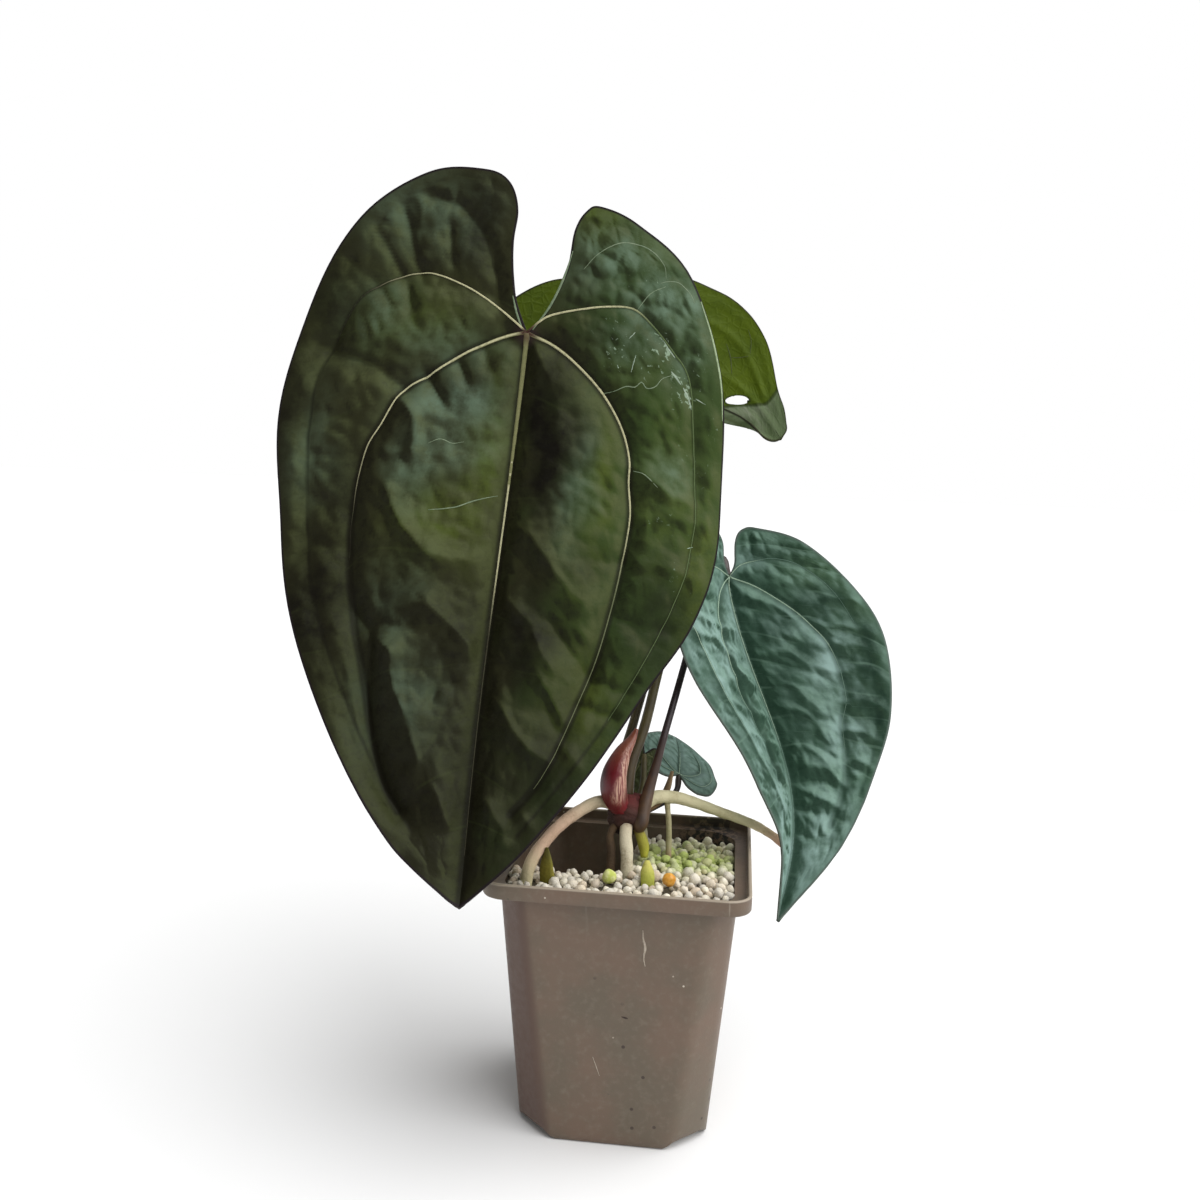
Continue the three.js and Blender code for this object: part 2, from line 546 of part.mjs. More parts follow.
function beads() {
  const draw = random(BEAD.seed);
  const placed = [];
  const solids = [];
  for (let tries = 0; tries < 6000 && placed.length < BEAD.count; tries += 1) {
    const x = (draw() * 2 - 1) * (BODY_HALF.top - 1);
    const y = (draw() * 2 - 1) * (BODY_HALF.top - 1);
    const inCorner = Math.abs(x) + Math.abs(y) > 2 * BODY_HALF.top - CORNER_CUT.top - 2;
    const near = placed.some(([px, py]) => Math.hypot(px - x, py - y) < BEAD.spacing);
    if (inCorner || near) continue;
    placed.push([x, y]);
    const radius = BEAD.small + (BEAD.large - BEAD.small) * draw();
    const ball = new THREE.IcosahedronGeometry(radius, 0).rotateX(draw() * 3).rotateZ(draw() * 3);
    const height = Math.min(fillLevel(x, y) - 0.4 + draw() * 0.9, POT_HEIGHT - radius + 0.4);
    ball.translate(x, y, height);
    const position = ball.getAttribute('position');
    const points = [];
    const faces = [];
    for (let i = 0; i < position.count; i += 1) {
      points.push(new THREE.Vector3().fromBufferAttribute(position, i));
      if (i % 3 === 2) faces.push([i - 2, i - 1, i]);
    }
    solids.push(body(points, faces));
  }
  return wasm.Manifold.union(solids);
}

function substrate(standing) {
  const shelfTop = shelf + POT_WALL + GAP;
  const room = loft([
    wideCut(BODY_HALF.foot - 2 * POT_WALL - GAP, FLOOR_WALL + GAP, CORNER_CUT.foot),
    square(BODY_HALF.foot - POT_WALL - GAP, FLOOR_WALL + CORNER_LIFT + GAP, { cut: CORNER_CUT.foot }),
    square(BODY_HALF.top - POT_WALL - GAP, shelfTop, { cut: CORNER_CUT.top }),
    square(RIM_HALF - POT_WALL - GAP, shelfTop, { round: RIM_ROUND - POT_WALL }),
    square(RIM_HALF - POT_WALL - GAP, POT_HEIGHT + 10, { round: RIM_ROUND - POT_WALL }),
  ]);
  const full = fillBlock().add(beads()).intersect(room);
  return largest(standing.reduce((fill, piece) => fill.subtract(piece), full));
}

// Assembly: what grows is cut where it meets what it grows from, with a gap
const solids = {};
const wider = {};

function grow(name, path, options, neighbours) {
  wider[name] = stalk(path, { ...options, extra: GAP });
  const whole = stalk(path, options);
  solids[name] = largest(neighbours.reduce((solid, other) => solid.subtract(wider[other]), whole));
}

grow('stem', STEM, { sides: 12, steps: 8 }, []);
for (const [name, path] of Object.entries(PETIOLES)) {
  grow(name, path, { sides: 8, steps: path.length > 6 ? 18 : 8 }, ['stem']);
}
const stalkNames = ['petiole_front', 'petiole_back', 'petiole_right', 'petiole_low'];
grow('sheath_red', SHEATH, { sides: 10, steps: 10, flat: 0.8 }, ['stem', ...stalkNames]);
grow('sheath_old', OLD_SHEATH, { sides: 6, steps: 6, flat: 0.5 }, ['stem', 'petiole_small', 'petiole_right']);
const trunkNeighbours = ['stem', 'petiole_right', 'petiole_small', 'petiole_low', 'sheath_red', 'sheath_old'];
for (const [name, path] of Object.entries(ROOTS)) {
  grow(name, path, { sides: 8, steps: path.length > 6 ? 16 : 10 }, trunkNeighbours);
}
const rootlet = stalk(ROOTLET, { sides: 6, steps: 8 }).subtract(wider.sheath_old);
solids.root_right = largest(solids.root_right.add(rootlet));
grow('old_bract', OLD_BRACT, { sides: 8, steps: 8, flat: 0.45 }, ['root_left']);
grow('pale_stub', PALE_STUB, { sides: 8, steps: 7 }, []);

function granule({ at, radius }, extra = 0) {
  const [x, y, z] = at;
  const size = radius + extra;
  const profile = [[-1, 0.3], [-0.6, 0.8], [0, 1], [0.6, 0.8], [1, 0.3]];
  return stalk(profile.map(([h, r]) => [x, y, z + h * size, r * size]), { sides: 8, steps: 4 });
}

const standing = [...Object.keys(ROOTS), 'old_bract', 'pale_stub'].map((name) => wider[name]);
standing.push(stalk(ROOTLET, { sides: 6, steps: 8, extra: GAP }));
for (const item of Object.values(GRANULES)) standing.push(granule(item, GAP));

addMesh('pot', potShell(), PLASTIC);
addMesh('perlite', substrate(standing), PERLITE);
addMesh('stem', solids.stem, STEM_BROWN);
addMesh('sheath_red', solids.sheath_red, SHEATH_RED);
addMesh('sheath_old', solids.sheath_old, DRY_BROWN);
for (const name of Object.keys(PETIOLES)) {
  addMesh(name, solids[name], name === 'petiole_right' || name === 'petiole_small' ? STALK_DARK : STALK);
}
const leafFinish = { leaf_front: LEAF_DARK, leaf_low: LEAF_DARK, leaf_back: LEAF_LIT };
for (const [name, leaf] of Object.entries(LEAVES)) addMesh(name, blade(leaf), leafFinish[name] ?? LEAF_BLUE);
const rootFinish = { root_old: ROOT_DARK, root_tip: GREEN_TIP };
for (const name of Object.keys(ROOTS)) addMesh(name, solids[name], rootFinish[name] ?? ROOT_CREAM);
addMesh('old_bract', solids.old_bract, GREEN_TIP);
addMesh('pale_stub', solids.pale_stub, GREEN_TIP);
for (const [name, item] of Object.entries(GRANULES)) {
  addMesh(name, granule(item), name === 'granule_orange' ? ORANGE : GREEN_TIP);
}

export default plant;
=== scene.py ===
# %% [markdown]
# # A potted anthurium with velvety, spade-shaped leaves
#
# The plant stands on stilt roots in a square nursery pot full of perlite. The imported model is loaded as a
# fixed frame, in metres, and each piece below takes the place of one of its plain solids, or gives it a
# better finish.

import math

import bpy
import numpy as np
from mathutils import Matrix, Vector, noise


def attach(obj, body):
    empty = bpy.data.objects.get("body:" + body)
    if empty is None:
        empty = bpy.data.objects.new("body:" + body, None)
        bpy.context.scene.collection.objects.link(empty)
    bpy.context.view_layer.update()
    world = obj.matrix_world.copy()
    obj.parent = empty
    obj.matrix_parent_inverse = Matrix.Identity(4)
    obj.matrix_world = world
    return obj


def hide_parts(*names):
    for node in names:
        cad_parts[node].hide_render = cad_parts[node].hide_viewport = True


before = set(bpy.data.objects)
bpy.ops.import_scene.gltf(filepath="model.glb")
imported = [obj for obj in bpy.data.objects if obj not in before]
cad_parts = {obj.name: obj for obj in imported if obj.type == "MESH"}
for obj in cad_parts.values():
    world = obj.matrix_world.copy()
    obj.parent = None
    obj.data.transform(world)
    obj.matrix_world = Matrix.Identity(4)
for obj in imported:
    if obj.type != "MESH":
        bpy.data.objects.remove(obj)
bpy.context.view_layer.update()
MM = 0.001
print("nodes in the frame:", len(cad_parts))

# %% [markdown]
# ## Camera
#
# The view has to show the plant from where it was photographed: a little above the rim of the pot, leaning
# forwards, and turned slightly. The three turns are given as angles and built into one matrix, because a
# camera that is aimed by hand can't be checked against the corners of the pot.

# %% Camera
CAMERA_AT = Vector((34.3, -419.8, 239.7)) * MM
PITCH_DOWN = math.radians(7.34)
ROLL = math.radians(1.97)
YAW = math.radians(-6.42)
LENS = 36.0

bpy.ops.object.camera_add(location=CAMERA_AT)
camera = bpy.context.object
camera.name = "camera"
level_ahead = Vector((math.sin(YAW), math.cos(YAW), 0))
forward = level_ahead * math.cos(PITCH_DOWN) - Vector((0, 0, math.sin(PITCH_DOWN)))
level_right = Vector((math.cos(YAW), -math.sin(YAW), 0))
level_up = level_right.cross(forward)
right = level_right * math.cos(ROLL) + level_up * math.sin(ROLL)
up = level_up * math.cos(ROLL) - level_right * math.sin(ROLL)
camera.rotation_euler = Matrix((right, up, -forward)).transposed().to_euler()
camera.data.sensor_fit = "HORIZONTAL"
camera.data.sensor_width = 36
camera.data.lens = LENS
camera.data.clip_start = 0.01
bpy.context.scene.camera = camera
print("the camera looks along", [round(v, 3) for v in forward])

# %% [markdown]
# ## Floor and light
#
# A pale, matte floor and an even, white surrounding give the plain setting. The main light falls from the
# right, a little from the front and from above, like daylight through a large window. An area lamp could
# give it, but its light falls off across the floor. A sun with a very wide disc lights all of it, and its
# shadow is as soft. The backdrop is seen as white, but it lights the plant as a dim room does, so that dark
# leaves stay dark.

# %% Floor and light
FLOOR_TONE = (0.86, 0.86, 0.86, 1)
FLOOR_SIZE = 12
FLOOR_GAP = 0.0002
KEY_FROM = Vector((1.0, -0.22, 1.35))
KEY_SPREAD = math.radians(84)
KEY_STRENGTH = 3.9
ROOM = 0.34

world = bpy.data.worlds.new("studio")
bpy.context.scene.world = world
world.use_nodes = True
backdrop = world.node_tree.nodes["Background"]
backdrop.inputs["Color"].default_value = (1, 1, 1, 1)
ray = world.node_tree.nodes.new("ShaderNodeLightPath")
brightness = world.node_tree.nodes.new("ShaderNodeMapRange")
brightness.inputs["To Min"].default_value = ROOM
brightness.inputs["To Max"].default_value = 1.0
world.node_tree.links.new(ray.outputs["Is Camera Ray"], brightness.inputs["Value"])
world.node_tree.links.new(brightness.outputs["Result"], backdrop.inputs["Strength"])

bpy.ops.object.light_add(type="SUN", location=KEY_FROM)
key = bpy.context.object
key.name = "window_light"
key.data.angle = KEY_SPREAD
key.data.energy = KEY_STRENGTH
key.rotation_euler = (-KEY_FROM).to_track_quat("-Z", "Y").to_euler()

bpy.ops.object.select_all(action="DESELECT")
bpy.ops.mesh.primitive_plane_add(size=FLOOR_SIZE, location=(0, 0, -FLOOR_GAP))
floor = bpy.context.object
floor.name = "floor"
floor_paint = bpy.data.materials.new("floor_paint")
floor_paint.use_nodes = True
floor_shader = floor_paint.node_tree.nodes["Principled BSDF"]
floor_shader.inputs["Base Color"].default_value = FLOOR_TONE
floor_shader.inputs["Roughness"].default_value = 0.9
floor_shader.inputs["Specular IOR Level"].default_value = 0.0
floor.data.materials.append(floor_paint)
bpy.context.scene.view_settings.view_transform = "Standard"
print("one wide light of strength", KEY_STRENGTH, "and a white surrounding")

# %% [markdown]
# ## A workbench for finishes
#
# Every finish here is a chain of nodes that ends in one Principled shader. Wiring such a chain by hand
# takes many lines, so this small class holds one material and has a short word for each kind of node that a
# plant needs: a product of shares, a soft step, a mix of two tones, noise, cells and bump. Tones are
# written as the eight-bit values that a colour picker shows, and turned into linear light.

# %% A class for finishes
def tone(red, green, blue):
    """A linear colour from eight-bit screen values."""
    shares = [value / 255 for value in (red, green, blue)]
    return (*(v / 12.92 if v < 0.04 else ((v + 0.055) / 1.055) ** 2.4 for v in shares), 1)


class Finish:
    """One material, built as a chain of nodes in front of a Principled shader."""

    def __init__(self, name, **sockets):
        self.material = bpy.data.materials.new(name)
        self.material.use_nodes = True
        self.tree = self.material.node_tree
        self.shader = self.tree.nodes["Principled BSDF"]
        for socket, value in sockets.items():
            self.shader.inputs[socket.replace("_", " ")].default_value = value

    def feed(self, socket, source):
        if isinstance(source, bpy.types.NodeSocket):
            self.tree.links.new(source, socket)
        elif source is not None:
            socket.default_value = source

    def node(self, kind, *sources, **settings):
        made = self.tree.nodes.new("ShaderNode" + kind)
        for key_word, value in settings.items():
            setattr(made, key_word, value)
        for socket, source in zip(made.inputs, sources):
            self.feed(socket, source)
        return made

    def place(self):
        return self.node("TexCoord").outputs["Object"]

    def stored(self, name, output="Vector"):
        return self.node("Attribute", attribute_name=name).outputs[output]

    def split(self, vector):
        return self.node("SeparateXYZ", vector).outputs

    def join(self, x, y, z=0.0):
        return self.node("CombineXYZ", x, y, z).outputs[0]

    def stretch(self, vector, scale):
        return self.node("Mapping", vector, None, None, scale, vector_type="POINT").outputs[0]

    def math(self, operation, a, b=0.5, c=0.5):
        return self.node("Math", a, b, c, operation=operation).outputs[0]

    def times(self, share, *others):
        for other in others:
            share = self.math("MULTIPLY", share, other)
        return share

    def far_from(self, vector, point=(0, 0, 0)):
        return self.node("VectorMath", vector, point, operation="DISTANCE").outputs["Value"]

    def step(self, value, start, end, low=0.0, high=1.0):
        made = self.node("MapRange", value, start, end, low, high, interpolation_type="SMOOTHSTEP")
        return made.outputs[0]

    def mix(self, share, first, second, blend="MIX"):
        made = self.node("Mix", data_type="RGBA", blend_type=blend)
        self.feed(made.inputs[0], share)
        self.feed(made.inputs[6], first)
        self.feed(made.inputs[7], second)
        return made.outputs[2]

    def noise(self, vector, scale, detail=3.0, roughness=0.55, distortion=0.0):
        made = self.node("TexNoise", vector, None, scale, detail, roughness)
        made.inputs["Distortion"].default_value = distortion
        return made.outputs[0]

    def cells(self, vector, scale, feature="DISTANCE_TO_EDGE"):
        return self.node("TexVoronoi", vector, None, scale, feature=feature).outputs["Distance"]

    def bump(self, height, depth, normal=None):
        made = self.node("Bump")
        made.inputs["Strength"].default_value = 1.0
        made.inputs["Distance"].default_value = depth * MM
        self.feed(made.inputs["Height"], height)
        if normal is not None:
            self.feed(made.inputs["Normal"], normal)
        return made.outputs[0]

    def finish(self, colour=None, roughness=None, normal=None):
        for socket, source in (("Base Color", colour), ("Roughness", roughness), ("Normal", normal)):
            if source is not None:
                self.feed(self.shader.inputs[socket], source)
        return self.material


print("finishes can now be built")

# %% [markdown]
# ## Strips of mesh
#
# A leaf, a stalk and a root are all one strip at heart: a grid whose points are moved to where they belong.
# A grid is added as a primitive, and every point is placed by a formula of how far it lies across and along
# the strip. What a material needs to know, such as the distance to a vein, is stored on the points as an
# attribute.

# %% Helpers for strips
def grid(name, across, along):
    """A new grid and, for each of its points, the share across and along it."""
    bpy.ops.object.select_all(action="DESELECT")
    bpy.ops.mesh.primitive_grid_add(x_subdivisions=across, y_subdivisions=along, size=2)
    made = bpy.context.object
    made.name = made.data.name = name
    flat = np.empty(len(made.data.vertices) * 3)
    made.data.vertices.foreach_get("co", flat)
    shares = (flat.reshape(-1, 3) + 1) / 2
    return made, shares[:, 0], shares[:, 1]


def move_points(piece, millimetres):
    piece.data.vertices.foreach_set("co", (millimetres * MM).astype(np.float32).ravel())
    piece.data.update()


def store(piece, name, values):
    """Keeps one number, or three, on every point of a mesh."""
    values = np.asarray(values, np.float32)
    kind, field = ("FLOAT", "value") if values.ndim == 1 else ("FLOAT_VECTOR", "vector")
    attribute = piece.data.attributes.new(name, kind, "POINT")
    attribute.data.foreach_set(field, values.ravel())


def edit(piece, *steps):
    """Runs edit-mode operators on the whole of one piece."""
    bpy.ops.object.select_all(action="DESELECT")
    piece.select_set(True)
    bpy.context.view_layer.objects.active = piece
    bpy.ops.object.mode_set(mode="EDIT")
    bpy.ops.mesh.select_all(action="SELECT")
    for step in steps:
        step()
    bpy.ops.object.mode_set(mode="OBJECT")


def weld(distance=0.01):
    return lambda: bpy.ops.mesh.remove_doubles(threshold=distance * MM)


def join(pieces, name):
    """Joins pieces into the first one, which keeps its materials first."""
    bpy.ops.object.select_all(action="DESELECT")
    for piece in pieces:
        piece.select_set(True)
    bpy.context.view_layer.objects.active = pieces[0]
    bpy.ops.object.join()
    pieces[0].name = pieces[0].data.name = name
    return pieces[0]


def smooth_shade(piece):
    bpy.ops.object.select_all(action="DESELECT")
    piece.select_set(True)
    bpy.context.view_layer.objects.active = piece
    bpy.ops.object.shade_smooth()


def hand_in(piece, slot, *nodes):
    """Names the body and the solids that a finished piece stands for; the slot is not used."""
    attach(piece, "root")
    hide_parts(*nodes)
    triangles = sum(len(p.vertices) - 2 for p in piece.data.polygons)
    print(f"{piece.name}: {triangles} triangles")


def soft_step(value, start, end):
    share = np.clip((value - start) / (end - start), 0, 1)
    return share * share * (3 - 2 * share)


# %% [markdown]
# ### Smooth paths
#
# Edges, veins, stalks and roots all run along smooth curves through a few points. A curve object could hold
# them, but it can't be asked for a distance or a place along it, so the same curve is worked out here in a
# few lines.

# %% Curves through points
def curve_through(points, per_step=8, even=True):
    """A smooth path through points, with even steps or with ones that follow the points' distances."""
    points = np.asarray(points, float)
    gaps = np.linalg.norm(np.diff(points[:, :3], axis=0), axis=1)
    knots = np.arange(len(points), dtype=float) if even else np.r_[0, np.cumsum(np.sqrt(gaps))]
    slopes = np.gradient(points, knots, axis=0)
    path = []
    for i in range(len(points) - 1):
        t = np.arange(per_step)[:, None] / per_step
        span = knots[i + 1] - knots[i]
        path.append((2 * t**3 - 3 * t**2 + 1) * points[i] + (t**3 - 2 * t**2 + t) * span * slopes[i]
                    + (3 * t**2 - 2 * t**3) * points[i + 1] + (t**3 - t**2) * span * slopes[i + 1])
    return np.vstack([*path, points[-1:]])


def lengths_along(path):
    return np.r_[0, np.cumsum(np.linalg.norm(np.diff(path[:, :3], axis=0), axis=1))]


def spread(path, shares):
    """The points that lie at the given shares of a path's length."""
    lengths = lengths_along(path)
    return np.stack([np.interp(shares * lengths[-1], lengths, axis) for axis in path.T], -1)


def to_path(path, u, w):
    """For each place on a blade, its distance to a path, signed by the side, and the share along it."""
    best = np.full(u.shape, 1e9)
    side = np.ones(u.shape)
    reach = np.zeros(u.shape)
    lengths = lengths_along(path)
    for i in range(len(path) - 1):
        (x0, y0), (dx, dy) = path[i], path[i + 1] - path[i]
        share = np.clip(((u - x0) * dx + (w - y0) * dy) / (dx * dx + dy * dy + 1e-12), 0, 1)
        gap = np.hypot(u - x0 - share * dx, w - y0 - share * dy)
        nearer = gap < best
        best = np.where(nearer, gap, best)
        side = np.where(nearer, np.where(dx * (w - y0) - dy * (u - x0) >= 0, 1, -1), side)
        reach = np.where(nearer, (lengths[i] + share * (lengths[i + 1] - lengths[i])) / lengths[-1], reach)
    return best * side, reach


print("a path of three points has", len(curve_through([[0, 0], [1, 1], [2, 0]])), "places")

# %% [markdown]
# ## Leaves
#
# A blade is two halves on a midrib. Each half is described flat first, by how far its edge stands from the
# midrib and how far along it. Then the whole blade is arched along the midrib, folded and curled across it,
# and one edge of the back leaf rolls over. The same sizes make the plain solids, so the fine blades lie
# where those do.

# %% Sizes of the leaves
# Millimetres and degrees, with the left half first in a pair. An edge is given by its places across and
# along, after the number of the place at the lobe's top. Patches are given by middle, half size and strength.
# Shade patches darken a blade to its painted shade, and the bluish patches mark where a painted sheen shows.
LEAVES = {
    "leaf_front": {
        "base": (-42, 1, 278), "tip": (-48, -60, 92), "across": (1, 0.1, -0.06), "bend": 20, "sway": -2,
        "fold": (12, 14), "curl": (-38, -52), "wave": 1.6, "pucker": 0.5, "groove": 1.3,
        "shade": [(12, 38, 10, 34, 1.3), (-56, 62, 10, 26, 0.9), (28, 1, 22, 7, 0.35),
                  (-72, -4, 16, 30, 0.8), (-62, 104, 16, 34, 1.1), (0, 165, 34, 34, 0.6),
                  (14, 106, 9, 24, 1), (-12, 108, 9, 20, 0.7), (-20, -34, 9, 22, 1), (58, 96, 14, 22, 0.7),
                  (-84, 40, 9, 60, 0.8), (26, 152, 14, 20, 0.7), (-14, 22, 16, 10, 0.5),
                  (31, 80, 8, 12, 0.5)],
        "painted_sheen_patches": [(-40, -38, 22, 14, 0.6), (-24, 27, 16, 10, 1.15), (28, -28, 18, 12, 1.1),
                  (48, -13, 16, 13, 1.5), (24, 52, 6, 20, 0.6), (-26, 8, 20, 9, 0.6), (-34, 48, 9, 16, 0.8),
                  (-28, 132, 13, 18, 0.65), (-70, 48, 10, 20, 0.4), (-34, 100, 10, 16, 0.6),
                  (58, 4, 8, 12, 0.9), (-52, 0, 14, 12, 0.6), (36, 2, 12, 9, 0.7), (54, 44, 8, 8, 0.7),
                  (-20, 40, 12, 12, 0.6)],
        "olive": [(33, 52, 5, 28, 1), (-23, 70, 14, 13, 0.9), (-8, 44, 7, 34, 1), (-40, 0, 26, 12, 0.6),
                  (56, 48, 12, 30, 0.6), (71, 78, 7, 34, 0.9), (36, 126, 12, 18, 1.1), (28, 92, 7, 16, 0.35),
                  (20, -44, 14, 10, 1.2), (42, -34, 12, 6, 0.8), (40, 8, 14, 6, 0.5)],
        "wear": [(47, 3, 8, 9, 1), (57, 16, 6, 8, 1.1), (32, 2, 8, 9, 0.9), (64, 8, 5, 14, 0.8),
                 (70, 23, 4, 6, 0.7), (58, 62, 9, 6, 0.6), (65, 78, 6, 14, 0.6), (44, -20, 12, 8, 0.7),
                 (64, 40, 7, 14, 0.5), (58.5, 17, 2, 5, 2.6), (54, 10, 3, 2, 2.2), (49.5, 1, 1.4, 4, 2.2),
                 (35, 3, 2.5, 2, 1.6)],
        "cells": (78, 236), "pillow": 2.2, "quilt": 1.3, "side_veins": 14, "seed": 3,
        "reach": {"midrib": (0.92, 0.92), "lateral": (0.56, 0.94), "collective": (0.32, 0.8)},
        "edges": (
            (5, [(0, 0), (5, -12), (7.5, -29), (7, -42), (11, -51), (20, -54), (39, -51), (62, -34),
                 (79, -4), (85, 38), (79, 76), (66, 113), (47, 149), (25, 179), (6, 194), (0, 197)]),
            (5, [(0, 0), (6, -7), (12, -22), (13.5, -36), (17, -43), (22, -45), (36, -40), (57, -24),
                 (72, 13), (78, 60), (71, 95), (56, 122), (38, 153), (19, 179), (5, 193), (0, 197)]),
        ),
    },
    "leaf_right": {
        "base": (32.3, 33.5, 192.3), "tip": (55.7, -2.7, 73), "across": (0.88, 0.47, 0.03), "bend": 22,
        "sway": 17, "fold": (33, 32), "curl": (-40, -25), "wave": 1.2, "pucker": 0.6, "groove": 0.9,
        "shade": [(42, 44, 9, 40, 1.1), (35, 51, 7, 12, 1), (12, 19, 8, 9, 0.9), (10, 48, 8, 10, 0.8),
                  (32, 12, 14, 8, 1), (40, 62, 10, 20, 1.1), (-15, 50, 5, 9, 0.7), (9, 60, 6, 8, 0.7),
                  (19, 32, 7, 6, 0.8), (26, -8, 16, 6, 0.6), (11, 37, 6, 6, 0.8), (-9, 70, 5, 7, 0.6),
                  (34, 66, 8, 12, 0.7)],
        "painted_sheen_patches": [(-31, 20, 9, 22, 1.2), (-28, 46, 8, 22, 1.2), (-21, 68, 8, 20, 0.9),
                  (-12, 92, 10, 18, 1.2), (-5, 12, 7, 24, 1), (2, 108, 18, 17, 1.3), (29, 34, 8, 16, 1.4),
                  (23, 66, 9, 14, 1), (-17, 27, 9, 14, 1.2), (13, 96, 14, 14, 0.7), (22, 20, 9, 8, 0.7),
                  (8, -6, 8, 5, 0.8)],
        "olive": [(44, 14, 10, 20, 0.7), (36, 0, 14, 10, 0.6), (40, 60, 8, 14, 0.5)],
        "smooth": [(-36, 18, 10, 24, 1), (-32, 46, 8, 22, 1), (-26, 70, 8, 20, 1), (-16, 94, 9, 18, 1),
                   (-5, 8, 6, 16, 0.8), (4, 112, 16, 14, 0.7)],
        "cells": (60, 170), "pillow": 0.9, "quilt": 1.3, "side_veins": 15, "seed": 5, "cord_size": 0.55,
        "reach": {"midrib": (0.92, 0.92), "lateral": (0.9, 0.75), "collective": (0.95, 0.45)},
        "edges": (
            (4, [(0, 0), (3, -6), (3.5, -13), (8, -18), (14, -19), (27, -10), (37, 8), (39, 28), (33, 51),
                 (23, 80), (10, 100), (4, 118), (0, 127.7)]),
            (4, [(0, 0), (2, -5), (2.5, -13), (5, -17.5), (11, -18), (28, -12), (45, 6), (52, 28), (43, 58),
                 (30, 82), (17, 107), (5, 122), (0, 127.7)]),
        ),
    },
    "leaf_back": {
        "base": (-36, 39, 274), "tip": (49.4, 59, 244), "across": (-0.31, -0.22, -0.92), "bend": -25,
        "sway": -16.5, "fold": (0, 0), "curl": (-20, -30), "wave": 0.8, "pucker": 0.3, "groove": 0.4,
        "painted_sheen_patches": [(28, 58, 10, 40, 1)],
        "cells": (48, 130), "pillow": 0.3, "quilt": 0.1, "side_veins": 9, "seed": 8,
        "edges": (
            (4, [(0, 0), (0.6, -8), (1.6, -18), (6, -25), (13, -23), (25, -11), (34, 10), (36, 30), (32, 47),
                 (28, 62), (22, 76), (12.5, 86), (10, 91), (5, 94.5), (0, 93.5)]),
            (4, [(0, 0), (0.6, -8), (1.6, -16), (6, -21), (12, -21), (25, -10), (34, 10), (37, 30), (35, 46),
                 (30, 62), (23, 74), (12, 84), (4, 91), (0, 93.5)]),
        ),
        "roll": {"side": 1, "from": 0.64, "radius": 0.055, "turn": 152},
        "tear": {"side": 1, "middle": (4.8, 72.1), "half": (5.6, 1.6), "slant": -40},
        "flap": [(24, 44), (17, 60), (10.5, 68.4), (7.1, 72.3), (2.6, 77.3), (-3.2, 82.8), (-10.2, 85.2),
                 (-17, 86)],
    },
    "leaf_small": {
        "base": (17.1, 25.1, 117.3), "tip": (14, 59, 123), "across": (-0.87, -0.04, 0.49), "bend": -24,
        "sway": 0, "fold": (4, 6), "curl": (-60, -60), "wave": 0.4, "pucker": 0.4, "groove": 0.4,
        "painted_sheen_patches": [(0, 14, 30, 40, 0.9)],
        "cells": (26, 60), "pillow": 0.3, "quilt": 0.2, "side_veins": 10, "seed": 11,
        "edges": (
            (3, [(0, 0), (2, -3), (4, -5), (9, -6), (15, -1), (16.5, 11), (11, 24), (0, 35)]),
            (3, [(0, 0), (2, -3), (4, -5), (9, -6), (16, -1), (17, 11), (11, 24), (0, 35)]),
        ),
    },
    "leaf_low": {
        "base": (4, 15.6, 126.5), "tip": (-4.5, 18.8, 106.5), "across": (-0.87, 0.05, 0.45), "bend": 20,
        "sway": 0, "fold": (8, 8), "curl": (-60, -60), "wave": 0.4, "pucker": 0.4, "groove": 0.4,
        "cells": (18, 44), "pillow": 0.2, "quilt": 0.12, "side_veins": 8, "seed": 13,
        "edges": (
            (3, [(0, 0), (1, -2), (2.4, -3.6), (5, -3.6), (7, 0), (7.4, 6), (5.4, 15), (0, 22)]),
            (3, [(0, 0), (1, -2), (2.4, -4), (5, -4), (8, 0), (8.6, 6), (6, 15), (0, 22)]),
        ),
    },
}
BLADE = 0.7
# The share of the way from the lobe's top to the tip at which the midrib starts
SHOULDER = 0.25
MIDRIB_EASE = 6
WAVES = 5
FOLD_ROUND = 0.45
FOLDS_START = 4
# The way to the light, across and down the blade, and how strongly a lean towards it shows in the painted
# light and shade
LIGHT_LEAN = (0.75, 0.66)
LEAN_GAIN = 2.2
# A blade stands a little inside its solid: at the edge as a share, and under its face
EDGE_IN = 0.998
SEAT = 0.35
# How far the edges of patches drift, and over what distance
PATCH_DRIFT = 5
PATCH_DRIFT_SIZE = 17
# An edge counts as rolled over past this turn
ROLLED = 0.02
# Sizes in the relief, as shares of a half's width
GROOVE_SPREAD = 0.045
EDGE_FADE = 0.07
PILLOW_RISE = {"strong": 0.13, "weak": 0.05}
DRIFT_SIZE = {"shift": 0.35, "strength": 0.4}
WRINKLE_SIZE = {"large": 0.16, "small": 0.07}
WEAK_GROOVE = 0.4
SIDE_SLOPE = {"inner": 0.2, "outer": 0.5}
# Main veins by their share of the way from midrib to edge, and of the way from the lobe's top to the tip
VEINS = {
    "lateral": [(0, 0.25), (0.22, 0.27), (0.42, 0.32), (0.55, 0.39), (0.6, 0.5), (0.6, 0.63), (0.54, 0.76),
                (0.4, 0.88)],
    "collective": [(0, 0.25), (0.2, 0.215), (0.45, 0.19), (0.68, 0.215), (0.81, 0.29), (0.86, 0.4),
                   (0.87, 0.55), (0.86, 0.7), (0.82, 0.82), (0.66, 0.92)],
}
